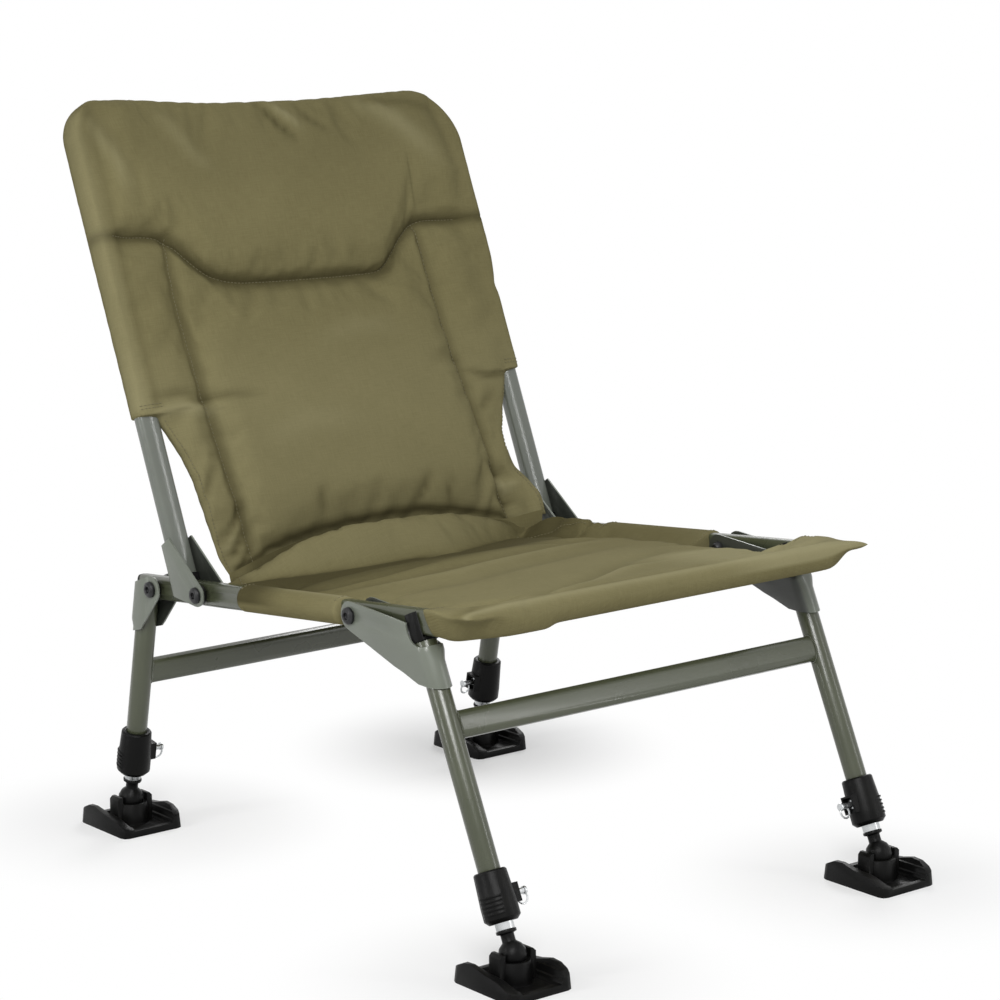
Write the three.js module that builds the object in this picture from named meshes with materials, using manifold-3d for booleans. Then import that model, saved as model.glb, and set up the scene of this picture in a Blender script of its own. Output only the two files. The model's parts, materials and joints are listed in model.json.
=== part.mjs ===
// Carp fishing chair: a low folding chair for a river bank. A padded cover is stretched over two
// bent tubes, a seat frame and a back frame, and each pair of legs folds on a bolt through the rail.
// Every leg has an inner leg that slides out, a spring pin that locks it and a foot that tilts.
// Millimetres, +Z up, front towards -Y, left is -X as seen from in front. The origin is on the
// floor, under the middle of the chair.
import * as THREE from 'three';
import { mergeVertices } from 'three/addons/utils/BufferGeometryUtils.js';
import Module from 'manifold-3d';

const wasm = await Module();
wasm.setup();

// Driving dimensions of the seat frame, a tube bent into a U
const rail_half_track = 240; // rail axis to the middle plane
const rail_height = 302.9; // rail axis above the floor, where the seat's own frame starts
const rail_rise_deg = 6.05; // the rails climb towards the front
const tube_tall = 25; // lobed tube of the seat and back frames
const tube_wide = 16;
const tube_wall = 1.6;
const tube_groove = 1.5; // shallow groove along the middle of each flat side
const rail_rear_at = 315; // along the rail, rearwards from the seat's own frame
const front_bar_at = -243;
const front_bar_lift = 4; // the front bar is bent up a little
const seat_bend_radius = 52;

// Driving dimensions of the pivots, along the rail
const rear_pivot_at = 281.8;
const back_pivot_at = 197.1;
const front_pivot_at = -65.7;
const bolt_radius = 4;
const bolt_head_radius = 8.5;
const bolt_head_height = 4.5;
const bolt_socket_radius = 3.6;
const bolt_socket_depth = 2.6;
const nut_radius = 7;
const nut_height = 5.5;
const spacer_radius = 10.5;
const end_cap_thick = 6.5; // rounded plug at the rear end of a rail
const plug_reach = 13; // of a plastic plug in a tube

// Driving dimensions of the back
const back_recline_deg = 23.3;
const back_offset = 33.7; // back tube axis behind its pivot
const back_tube_start = 28; // up the back from the pivot
const back_bar_at = 511;
const back_bend_radius = 66;
const back_saddle_drop = 17; // from the tube's end to the plastic saddle's lower face

// Driving dimensions of the legs
const leg_radius = 11;
const leg_wall = 1.5;
const inner_leg_radius = 9;
const inner_leg_wall = 1.4;
const lock_hole_count = 6;
const crossbar_tall = 27;
const crossbar_deep = 13;
const crossbar_wall = 1.4;
const ball_height = 30; // foot ball centre above the floor
const leg_specs = {
  front: {
    pivot_at: front_pivot_at,
    lean_deg: -25.3, // the foot end leans forwards
    offset: -86.1, // leg axis ahead of the pivot
    inner_share: 0.622, // of the outer leg, that the inner leg fills
    tube_top: -50,
    plate_top: -38,
    plate_low: -99,
    heel_low: -87,
    saddle_cut: 19, // the plate's corner is cut away in a curve, so that the saddle shows
    crossbar_down: 133,
  },
  rear: {
    pivot_at: rear_pivot_at,
    lean_deg: 10.64,
    offset: 24.3,
    inner_share: 0.853,
    tube_top: -25,
    plate_top: -7,
    plate_low: -62,
    heel_low: -50,
    saddle_cut: 0,
    crossbar_down: 105.5,
  },
};

// Driving dimensions of the pressed brackets
const sheet = 2;
const bracket_half_width = 14.5; // outside, beside the rail
const pivot_end_radius = 14;
const back_pivot_end_radius = 12;
const back_plate_top = 66; // up the back from the pivot
const back_plate_low = 10;
const back_plate_slant = 4;
const back_plate_corner = 2;
const bracket_clearance = 1.2; // to the rail that a bracket straddles
const joggle_top = -62; // where a leg bracket starts to draw in to the leg
const joggle_height = 9;
const saddle_ear_height = 28;
const saddle_inset = 1; // of the front saddle's faces from the leg's sides

// Driving dimensions of the collars, spring pins and stems
const collar_height = 49;
const collar_above_ball = 30;
const collar_top_radius = 16;
const collar_low_radius = 17.75;
const collar_round = 4;
const collar_shoulder = 5;
const collar_chamfer = 1.5;
const grip_rib_count = 5; // fine ribs across the outer face of a collar
const grip_rib_from = 8;
const grip_rib_pitch = 4;
const grip_rib_height = 1.8;
const grip_rib_reach = 0.9;
const grip_turn_deg = 28; // from straight outwards to the side of the leg's bracket web
const window_half_width = 6; // frame around the spring pin
const window_half_height = 7;
const window_depth = 2;
const window_frame = 2.2;
const pin_up = 24; // pin axis above the collar's lower face
const pin_radius = 3;
const pin_reach = 12; // beyond the collar
const pin_boss_reach = 4;
const pin_head = 2.5;
const pin_washer_radius = 4.8;
const pin_washer_thick = 1.2;
const pin_ring_radius = 6;
const pin_wire_radius = 1.1;
const ball_radius = 13.5;
const neck_radius = 6.5;
const flange_radius = 9.8;
const flange_above_ball = 19;
const flange_thick = 4;
const stem_plug_length = 14;

// Driving dimensions of the feet
const foot_width = 75; // across the chair
const foot_length = 88;
const foot_corner = 7;
const foot_wall_slope = 1.6; // the outer walls lean in by this much
const foot_wall_height = 7;
const foot_wall_thick = 5;
const foot_floor = 4;
const cup_radius = 19;
const cup_rim_radius = 17;
const cup_below_ball = 4; // rim of the cup, under the ball's centre
const ear_above_ball = 4; // two ears beside the ball
const ear_inside = 15;
const ear_outside = 21.5;
const ear_half_length = 8;
const ear_chamfer = 3;
const cheek_height = 23; // raised walls along both sides, stepped on the inside
const cheek_inside = 22;
const cheek_top_width = 4.5;

// Driving dimensions of the covers
const cover_cloth = 3; // padded sleeve around a tube
const cover_beyond_rail = 16; // half widths are set from the rail axis
const back_beyond_rail = 15;
const seat_rear_inside_rail = 50;
const notch_ahead_of_leg = 29.2;
const notch_behind_pivot = 8; // the folded bracket clears it
const notch_beside_nut = 3;
const sleeve_short_of_back = 72.1;
const crease_behind_back = 26.9; // the seat cover curves up to the back there
const seat_crease_rise = 24;
const seat_sag = 6;
const seat_thickness = 15;
const seat_half_width = rail_half_track + cover_beyond_rail;
const seat_rear_half_width = rail_half_track - seat_rear_inside_rail;
const seat_sleeve_rear_at = back_pivot_at - sleeve_short_of_back;
const seat_crease_at = back_pivot_at + crease_behind_back;
const seat_notch_front_at = front_pivot_at + leg_specs.front.offset - notch_ahead_of_leg;
const seat_notch_rear_at = front_pivot_at + pivot_end_radius + notch_behind_pivot;
const seat_notch_half_width = rail_half_track - bracket_half_width - nut_height - notch_beside_nut;
const back_low_inside_rail = 54;
const back_waist_inside_rail = 35;
const back_neck_inside_rail = 16; // where the free edge meets the sleeve
const back_top_beyond_bar = 25;
const back_half_width = rail_half_track + back_beyond_rail;
const back_low_half_width = rail_half_track - back_low_inside_rail;
const back_waist_half_width = rail_half_track - back_waist_inside_rail;
const back_neck_half_width = rail_half_track - back_neck_inside_rail;
const back_top = back_bar_at + back_top_beyond_bar;
const back_sleeve_low = 195;
const back_low = 18; // lower edge of the back cover at its sides
const back_low_mid = 44;
const back_waist_at = 120;
const back_top_dip = 9;
const back_corner_radius = 62;
const back_top_round = 12; // roundings of the cover's edges
const back_low_round = 8;
const back_side_round = 9;
const back_low_depth = 5; // the cover is thin at its lower edge
const back_swell_height = 60; // and full from here up
const back_pad = 9; // padding in front of the sleeves
const pillow_low_share = 0.4167; // of the rail's half track: where the pillow's seam starts to rise
const pillow_high_share = 0.6875;
const channel_share = 0.7042; // sewn channels down both sides
const pillow_low = 326;
const pillow_high = 380;
const pillow_low_half_width = rail_half_track * pillow_low_share;
const pillow_high_half_width = rail_half_track * pillow_high_share;
const channel_half_width = rail_half_track * channel_share;
const seam_depth = 3;

// Clearances and cutting lengths
const gap = 0.3;
const overrun = 5;
const round_sides = 18;
const inner_leg_sides = 16;
const stem_sides = 14;
const bolt_sides = 12;
const pin_sides = 10;
const hole_sides = 8;
const wire_sides = 5;
const least_rim_share = 0.05; // of a cover's thickness, left at its very edge

const steel = { color: 0x6c7161, roughness: 0.42, metalness: 0.35 };
const bracket_steel = { color: 0x7d8278, roughness: 0.45, metalness: 0.35 };
const back_steel = { color: 0x868a80, roughness: 0.36, metalness: 0.45 };
const aluminium = { color: 0xc9cbcc, roughness: 0.28, metalness: 0.9 };
const black_plastic = { color: 0x232322, roughness: 0.55, metalness: 0 };
const black_bolt = { color: 0x191919, roughness: 0.38, metalness: 0.4 };
const olive_cloth = { color: 0x767050, roughness: 0.9, metalness: 0 };

const radians = THREE.MathUtils.degToRad;
const rise = radians(rail_rise_deg);
const recline = radians(back_recline_deg);

// Turns a list of corners and faces into a closed body whose faces point out
function closedBody(corners, faces) {
  const geometry = new THREE.BufferGeometry();
  geometry.setAttribute('position', new THREE.Float32BufferAttribute(corners.flatMap((p) => p.toArray()), 3));
  const volume = faces.reduce((sum, [a, b, c]) => {
    return sum + corners[a].dot(new THREE.Vector3().crossVectors(corners[b], corners[c]));
  }, 0);
  geometry.setIndex(faces.flatMap(([a, b, c]) => (volume > 0 ? [a, b, c] : [a, c, b])));
  return geometry;
}

// Joins rings of equally many points; flatten gives a ring's corners in a plane, for the end caps
function loft(rings, flatten) {
  const count = rings[0].length;
  const faces = [];
  for (let ring = 0; ring + 1 < rings.length; ring++) {
    for (let i = 0; i < count; i++) {
      const a = ring * count + i;
      const b = ring * count + ((i + 1) % count);
      faces.push([a, b, b + count], [a, b + count, a + count]);
    }
  }
  const capFaces = (ring, first, reversed) => {
    const flat = ring.map(flatten);
    const around = Math.sign(THREE.ShapeUtils.area(flat));
    for (const [a, b, c] of THREE.ShapeUtils.triangulateShape(flat, [])) {
      const turned = Math.sign(THREE.ShapeUtils.area([flat[a], flat[b], flat[c]]));
      const kept = (turned === around) !== reversed;
      faces.push(kept ? [first + a, first + b, first + c] : [first + a, first + c, first + b]);
    }
  };
  capFaces(rings[0], 0, true);
  capFaces(rings.at(-1), (rings.length - 1) * count, false);
  return closedBody(rings.flat(), faces);
}

// A geometry as a solid that can be joined and cut
function solid(geometry) {
  const bare = geometry.clone();
  bare.deleteAttribute('normal');
  bare.deleteAttribute('uv');
  const merged = mergeVertices(bare);
  return new wasm.Manifold(new wasm.Mesh({
    numProp: 3,
    vertProperties: new Float32Array(merged.attributes.position.array),
    triVerts: new Uint32Array(merged.index.array),
  }));
}

function surface(body) {
  const mesh = body.getMesh();
  const geometry = new THREE.BufferGeometry();
  geometry.setAttribute('position', new THREE.BufferAttribute(mesh.vertProperties, 3));
  geometry.setIndex(new THREE.BufferAttribute(mesh.triVerts, 1));
  geometry.computeVertexNormals();
  return geometry;
}

function addMesh(parent, name, body, finish) {
  const mesh = new THREE.Mesh(surface(body), new THREE.MeshStandardMaterial(finish));
  mesh.name = name;
  parent.add(mesh);
  return mesh;
}

// A flat outline in Y and Z, extruded across the chair
function crossPrism(points, from, to) {
  const shape = new THREE.Shape(points.map(([y, z]) => new THREE.Vector2(y, z)));
  const geometry = new THREE.ExtrudeGeometry(shape, { depth: to - from, bevelEnabled: false });
  const across = new THREE.Matrix4().makeBasis(
    new THREE.Vector3(0, 1, 0), new THREE.Vector3(0, 0, 1), new THREE.Vector3(1, 0, 0));
  geometry.applyMatrix4(across.setPosition(from, 0, 0));
  return solid(geometry);
}

function box(low, high) {
  const size = low.map((value, i) => high[i] - value);
  const centre = low.map((value, i) => (high[i] + value) / 2);
  return solid(new THREE.BoxGeometry(...size).translate(...centre));
}

// Revolves a profile of [radius, height] pairs about Z
function revolve(profile, sides = round_sides) {
  const points = profile.map(([radius, height]) => new THREE.Vector2(radius, height));
  return solid(new THREE.LatheGeometry([...points, points[0]], sides).rotateX(Math.PI / 2));
}

function upright(radius, low, high, sides = round_sides) {
  return revolve([[0, low], [radius, low], [radius, high], [0, high]], sides);
}

function crosswise(radius, from, to, sides = round_sides) {
  return upright(radius, from, to, sides).rotate([0, 90, 0]);
}

// A ring around Z, or a rod's hole, as a closed profile
function sleeve(inner, outer, low, high, sides = round_sides) {
  return revolve([[inner, low], [outer, low], [outer, high], [inner, high]], sides);
}

// Outline of the lobed tube: a flat oval with a groove along both flat sides
function lobedOutline(tall, wide, groove, grow) {
  const point_count = grow < 0 ? 12 : 20; // fewer inside a tube
  const end_share = 0.75;
  const side_share = 0.5;
  const groove_share = 0.3;
  return Array.from({ length: point_count }, (_, i) => {
    const angle = (2 * Math.PI * i) / point_count;
    const up = Math.sin(angle);
    const out = Math.cos(angle);
    const height = (tall / 2 + grow) * Math.sign(up) * Math.abs(up) ** end_share;
    const flatness = Math.min(1, 2 * Math.abs(out));
    const dent = groove * flatness * Math.exp(-((height / (tall * groove_share)) ** 2));
    const half = (wide / 2 + grow) * Math.abs(out) ** side_share - dent;
    const width = Math.abs(out) < Number.EPSILON * point_count ? 0 : Math.sign(out) * half;
    return [width, height];
  });
}

// Stations along a U: two straight runs joined by bends and a bar, as places, sidewards directions
// and lifts. The U opens towards +along, and its bar lies at bar_at.
function bentStations({ half_track, run_to, bar_at, radius, lift = 0 }) {
  const bend_steps = 6;
  const direction = Math.sign(run_to - bar_at);
  const half = [{ x: half_track, along: run_to, angle: 0, lift: 0 }];
  for (let i = 0; i <= bend_steps; i++) {
    const angle = (Math.PI / 2) * (i / bend_steps);
    half.push({
      x: half_track - radius * (1 - Math.cos(angle)),
      along: bar_at + direction * radius * (1 - Math.sin(angle)),
      angle,
      lift: lift * Math.sin(angle) ** 2,
    });
  }
  const other = half.map((s) => ({ ...s, x: -s.x, angle: Math.PI - s.angle })).reverse();
  return { stations: [...half, ...other], direction };
}

// Sweeps a [width, height] outline along a U. place(x, along, up) gives the point in its frame.
function bentTube(spec, outline, place) {
  const { stations, direction } = bentStations(spec);
  const rings = stations.map(({ x, along, angle, lift }) => outline.map(([width, height]) => place(
    x + width * Math.cos(angle),
    along - direction * width * Math.sin(angle),
    height + lift,
  )));
  return solid(loft(rings, (p) => new THREE.Vector2(p.x, p.y + p.z)));
}

// A stretch of channel wall that wraps a tube: rings of a U that opens away from its web
function channelWall(stations, web_side, wall, reach) {
  const corner_steps = 4;
  const ring = ({ z, half, web, corner }, grow) => {
    const round = corner + grow;
    const points = [[half + grow, -reach]];
    for (let i = 0; i <= corner_steps; i++) {
      const angle = (Math.PI / 2) * (i / corner_steps);
      const inset = [1 - Math.cos(angle), 1 - Math.sin(angle)];
      points.push([half + grow - round * inset[0], web + grow - round * inset[1]]);
    }
    const mirrored = points.map(([x, y]) => [-x, y]).reverse();
    return [...points, ...mirrored].map(([x, y]) => new THREE.Vector3(x, web_side * y, z));
  };
  const flatten = (p) => new THREE.Vector2(p.x, p.y);
  const ends = [stations[0], stations.at(-1)];
  const past = ends.map((s, i) => ({ ...s, z: s.z + (i ? 1 : -1) * overrun }));
  const outside = solid(loft(stations.map((s) => ring(s, wall)), flatten));
  const inside = solid(loft([past[0], ...stations.slice(1, -1), past[1]].map((s) => ring(s, 0)), flatten));
  return { outside, inside };
}

// Where a line from a point touches a circle about the pivot
function tangentPoint([y, z], radius, side) {
  const distance = Math.hypot(y, z);
  const angle = Math.atan2(z, y) + side * Math.acos(radius / distance);
  return [radius * Math.cos(angle), radius * Math.sin(angle)];
}

// The side outline of a bracket: a round pivot end that widens to a plate on the tube
function gusset(corners, end_radius, half_width) {
  const first = tangentPoint(corners[0], end_radius, Math.sign(corners[0][0]));
  const last = tangentPoint(corners.at(-1), end_radius, -Math.sign(corners[0][0]));
  const plate = crossPrism([[0, 0], first, ...corners, last], -half_width, half_width);
  return plate.add(crosswise(end_radius, -half_width, half_width, round_sides));
}

const group = new THREE.Group();
const seat = new THREE.Group();
seat.position.set(0, 0, rail_height);
seat.rotation.x = -rise;
group.add(seat);

const sides = [['left', -1], ['right', 1]];
const spacer_inner = tube_wide / 2 + gap;
const plate_inner = bracket_half_width - sheet;
const frame_bore = bolt_radius + 2 * gap;
const seat_place = (x, along, up) => new THREE.Vector3(x, along, up);
const seat_path = {
  half_track: rail_half_track, run_to: rail_rear_at, bar_at: front_bar_at,
  radius: seat_bend_radius, lift: front_bar_lift,
};
const longer = (spec, by) => ({ ...spec, run_to: spec.run_to + Math.sign(spec.run_to - spec.bar_at) * by });
const tube_outline = (grow) => lobedOutline(tube_tall, tube_wide, tube_groove, grow);
const seat_tube_space = bentTube(longer(seat_path, overrun), tube_outline(gap), seat_place);

// The tube of the seat, drilled for its three pairs of pivots
function makeSeatFrame() {
  let frame = bentTube(seat_path, tube_outline(0), seat_place)
    .subtract(bentTube(longer(seat_path, overrun), tube_outline(-tube_wall), seat_place));
  for (const pivot_at of [rear_pivot_at, back_pivot_at, front_pivot_at]) {
    for (const [, side] of sides) {
      const x = side * rail_half_track;
      const bore = crosswise(frame_bore, x - tube_wide, x + tube_wide, hole_sides);
      frame = frame.subtract(bore.translate([0, pivot_at, 0]));
    }
  }
  addMesh(seat, 'seat_frame', frame, steel);
}

// Rounded plugs close the rear ends of the rails
function makeEndCaps() {
  const round_shares = [[0, 1], [0.45, 0.97], [0.8, 0.82], [1, 0.55]];
  const ringAt = (y, grow, share) => tube_outline(grow)
    .map(([x, z]) => new THREE.Vector3(x * share, y, z * share));
  const flatten = (p) => new THREE.Vector2(p.x, p.z);
  for (const [name, side] of sides) {
    const domeRing = ([out, share]) => ringAt(rail_rear_at + gap + out * end_cap_thick, 0, share);
    const dome = round_shares.map(domeRing);
    const insert = [rail_rear_at - plug_reach, rail_rear_at + 2 * gap]
      .map((y) => ringAt(y, -tube_wall - gap, 1));
    const cap = solid(loft(dome, flatten)).add(solid(loft(insert, flatten)));
    const placed = cap.translate([side * rail_half_track, 0, 0]);
    addMesh(seat, `rail_end_cap_${name}`, placed, black_plastic);
  }
}

// A pivot bolt with a socket head outside and a domed nut inside, and its two spacers
function makePivots() {
  const pivots = [['front', front_pivot_at], ['rear', rear_pivot_at], ['back', back_pivot_at]];
  const head_top_share = 0.75;
  const nut_top_share = 0.6;
  const outside = bracket_half_width + gap;
  const head = outside + bolt_head_height;
  const bolt = revolve([
    [0, -outside - nut_height], [nut_radius * nut_top_share, -outside - nut_height],
    [nut_radius, -outside], [bolt_radius, -outside],
    [bolt_radius, outside], [bolt_head_radius, outside], [bolt_head_radius, head - bolt_head_height / 3],
    [bolt_head_radius * head_top_share, head], [bolt_socket_radius, head],
    [bolt_socket_radius, head - bolt_socket_depth], [0, head - bolt_socket_depth],
  ], bolt_sides).rotate([0, 90, 0]);
  const spacer = sleeve(frame_bore, spacer_radius, spacer_inner, plate_inner - gap, bolt_sides)
    .rotate([0, 90, 0]);
  for (const [pivot_name, at] of pivots) {
    for (const [name, side] of sides) {
      const x = side * rail_half_track;
      const turned = side > 0 ? bolt : bolt.rotate([0, 0, 180]);
      addMesh(seat, `${pivot_name}_pivot_bolt_${name}`, turned.translate([x, at, 0]), black_bolt);
      const outer = side > 0 ? spacer : spacer.rotate([0, 0, 180]);
      addMesh(seat, `${pivot_name}_outer_spacer_${name}`, outer.translate([x, at, 0]), black_plastic);
      const inner = outer.rotate([0, 0, 180]);
      addMesh(seat, `${pivot_name}_inner_spacer_${name}`, inner.translate([x, at, 0]), black_plastic);
    }
  }
}

// Smooth step from 0 to 1
const ease = (t) => THREE.MathUtils.smoothstep(t, 0, 1);

// How thick a cover is near its edge, as a share: full inside, nothing at the very edge
const edgeShare = (inset, round) => Math.sqrt(Math.max(0, 1 - Math.max(0, 1 - inset / round) ** 2));

// The seat cover: taut over the rails and the front bar, a little lower in the middle, and cut away
// beside the front brackets
function makeSeatCover() {
  const front = front_bar_at - tube_wide / 2 - cover_cloth;
  const sag_share = 0.7;
  const rear_height_share = 0.8; // behind the sleeves the cover is thinner
  const round = tube_tall / 2;
  const edge_up = tube_tall / 2 + cover_cloth;
  const side_round_share = 0.7;
  const column_shares = [0, 0.25, 0.5, 0.72, 0.86, 0.93, 0.965, 0.99, 1];
  const columns = [...column_shares.slice(1).map((c) => -c).reverse(), ...column_shares];
  const halfWidth = (y) => {
    if (y <= seat_sleeve_rear_at) return seat_half_width;
    const t = (y - seat_sleeve_rear_at) / (seat_crease_at - seat_sleeve_rear_at);
    return seat_notch_half_width + (seat_rear_half_width - seat_notch_half_width) * ease(t);
  };
  const lift = (x, y) => {
    const arch = Math.max(0, 1 - (x / seat_rear_half_width) ** 2);
    const climb = ease((y - back_pivot_at + tube_tall) / (crease_behind_back + tube_tall));
    const front_lift = front_bar_lift * ease((front_bar_at + seat_bend_radius - y) / seat_bend_radius);
    return front_lift + seat_crease_rise * arch * climb;
  };
  const inset_shares = [0, 0.15, 0.5, 1];
  const row_insets = inset_shares.map((share) => share * round);
  const front_rows = row_insets.map((inset) => front + inset);
  const middle_shares = [0.08, 0.2, 0.35, 0.5, 0.65, 0.8, 1];
  const middle_span = seat_sleeve_rear_at - front - round;
  const middle_rows = middle_shares.map((share) => front + round + share * middle_span);
  const rear_shares = [0.01, 0.3, 0.5, 0.65, 0.8, 0.92, 1];
  const rear_span = seat_crease_at - seat_sleeve_rear_at;
  const rear_rows = rear_shares.map((share) => seat_sleeve_rear_at + share * rear_span);
  const ringAt = (y) => {
    const width = halfWidth(y);
    const behind = ease((y - front) / (seat_crease_at - front));
    const end = edgeShare(y - front, round) * edgeShare(seat_crease_at - y, round / 2);
    const thickness = (x, upper) => {
      const across = 1 - (Math.abs(x) / (rail_half_track - tube_wide)) ** 2;
      const slack = Math.max(0, across) * ease((y - front) / (2 * seat_bend_radius));
      const sunk = y > seat_sleeve_rear_at ? rear_height_share : 1;
      const top = edge_up * sunk - slack * seat_sag * (1 + behind) * sag_share;
      const thick = seat_thickness + (edge_up * 2 - seat_thickness) * (1 - slack);
      const low = Math.max(-edge_up * sunk, top - thick);
      return upper ? top : low;
    };
    const point = (c, upper) => {
      const x = c * width;
      const rim = edgeShare((1 - Math.abs(c)) * width, round * side_round_share) * end;
      const middle = (thickness(x, true) + thickness(x, false)) / 2;
      const half = (thickness(x, upper) - middle) * Math.max(rim, least_rim_share);
      return new THREE.Vector3(x, y, lift(x, y) + middle + half);
    };
    const top = columns.map((c) => point(c, true));
    const low = columns.slice(1, -1).filter((_, i) => i % 2 === 1).map((c) => point(c, false)).reverse();
    return [...top, ...low];
  };
  const rings = [...front_rows, ...middle_rows, ...rear_rows].map(ringAt);
  let cover = solid(loft(rings, (p) => new THREE.Vector2(p.x, p.z))).subtract(seat_tube_space);
  for (const [, side] of sides) {
    const xs = [side * seat_notch_half_width, side * (seat_half_width + overrun)].sort((a, b) => a - b);
    cover = cover.subtract(box(
      [xs[0], seat_notch_front_at, -tube_tall], [xs[1], seat_notch_rear_at, tube_tall + front_bar_lift]));
  }
  addMesh(seat, 'seat_cover', cover, olive_cloth);
}

// A place along the rail, in the chair's frame
const onRail = (at) => new THREE.Vector3(0, at * Math.cos(rise), rail_height - at * Math.sin(rise));

const back = new THREE.Group();
back.position.copy(onRail(back_pivot_at));
back.rotation.x = -recline;
group.add(back);

// The rail as it lies in a group that hangs on a pivot, grown by a clearance
function railInGroup(holder, pivot_at, clearance) {
  const far = rail_rear_at + tube_tall;
  const grown = crossPrism([
    [-far, -tube_tall / 2 - clearance], [far - pivot_at, -tube_tall / 2 - clearance],
    [far - pivot_at, tube_tall / 2 + clearance], [-far, tube_tall / 2 + clearance],
  ], -tube_wide / 2 - clearance, tube_wide / 2 + clearance);
  return grown.rotate([THREE.MathUtils.radToDeg(-rise - holder.rotation.x), 0, 0]);
}

const back_path = {
  half_track: rail_half_track, run_to: back_tube_start, bar_at: back_bar_at, radius: back_bend_radius,
};
const back_place = (x, along, depth) => new THREE.Vector3(x, back_offset + depth, along);
const flat_outline = (grow) => lobedOutline(tube_wide, tube_tall, 0, grow);

// The tube of the back, wider across the chair than it is deep
function makeBackFrame() {
  const frame = bentTube(back_path, flat_outline(0), back_place)
    .subtract(bentTube(longer(back_path, overrun), flat_outline(-tube_wall), back_place));
  addMesh(back, 'back_frame', frame, back_steel);
}

// Pressed brackets carry the back tubes on their pivots, and plastic saddles rest them on the rails
function makeBackBrackets() {
  const half = tube_tall / 2 + gap;
  const web = tube_wide / 2 + gap;
  const walls = channelWall(
    [back_plate_low - back_pivot_end_radius * 3, back_plate_top]
      .map((z) => ({ z, half, web, corner: back_plate_corner })),
    1, sheet, back_offset + back_pivot_end_radius * 2);
  const outline = gusset([
    [back_offset - web, back_plate_top], [back_offset + web + sheet, back_plate_top - back_plate_slant],
    [back_offset + web + sheet, back_plate_low],
  ], back_pivot_end_radius, bracket_half_width + sheet);
  const bracket = walls.outside.subtract(walls.inside).translate([0, back_offset, 0]).intersect(outline)
    .subtract(railInGroup(back, back_pivot_at, bracket_clearance))
    .subtract(crosswise(frame_bore, -bracket_half_width * 2, bracket_half_width * 2, hole_sides));
  const cup = box(
    [-half + 3 * gap, back_offset - web + gap, back_tube_start - back_saddle_drop],
    [half - 3 * gap, back_offset + web - 3 * gap, back_tube_start - gap]);
  const plug_rings = [back_tube_start - 2 * gap, back_tube_start + plug_reach]
    .map((z) => flat_outline(-tube_wall - gap).map(([x, y]) => new THREE.Vector3(x, back_offset + y, z)));
  const plug = solid(loft(plug_rings, (p) => new THREE.Vector2(p.x, p.y)));
  const saddle = cup.subtract(railInGroup(back, back_pivot_at, gap)).add(plug);
  for (const [name, side] of sides) {
    const x = side * rail_half_track;
    addMesh(back, `back_bracket_${name}`, bracket.translate([x, 0, 0]), bracket_steel);
    addMesh(back, `back_saddle_${name}`, saddle.translate([x, 0, 0]), black_plastic);
  }
}

// Half the width of the back cover at a height up the back
function backHalfWidth(up) {
  const corner_low = back_top - back_corner_radius;
  if (up > corner_low) {
    const out = (up - corner_low) / back_corner_radius;
    return back_half_width - back_corner_radius * (1 - Math.sqrt(Math.max(0, 1 - out ** 2)));
  }
  if (up >= back_sleeve_low) return back_half_width;
  if (up >= back_waist_at) {
    const t = (up - back_waist_at) / (back_sleeve_low - back_waist_at);
    return back_waist_half_width + (back_neck_half_width - back_waist_half_width) * t ** 2;
  }
  const t = (up - back_low) / (back_waist_at - back_low);
  const widening = back_waist_half_width - back_low_half_width;
  return back_low_half_width + widening * Math.sin((t * Math.PI) / 2) ** 0.8;
}

// Height of the pillow seam up the back: a raised step at both sides
function pillowSeam(x) {
  const t = (Math.abs(x) - pillow_low_half_width) / (pillow_high_half_width - pillow_low_half_width);
  return pillow_low + (pillow_high - pillow_low) * THREE.MathUtils.clamp(t, 0, 1);
}

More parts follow.
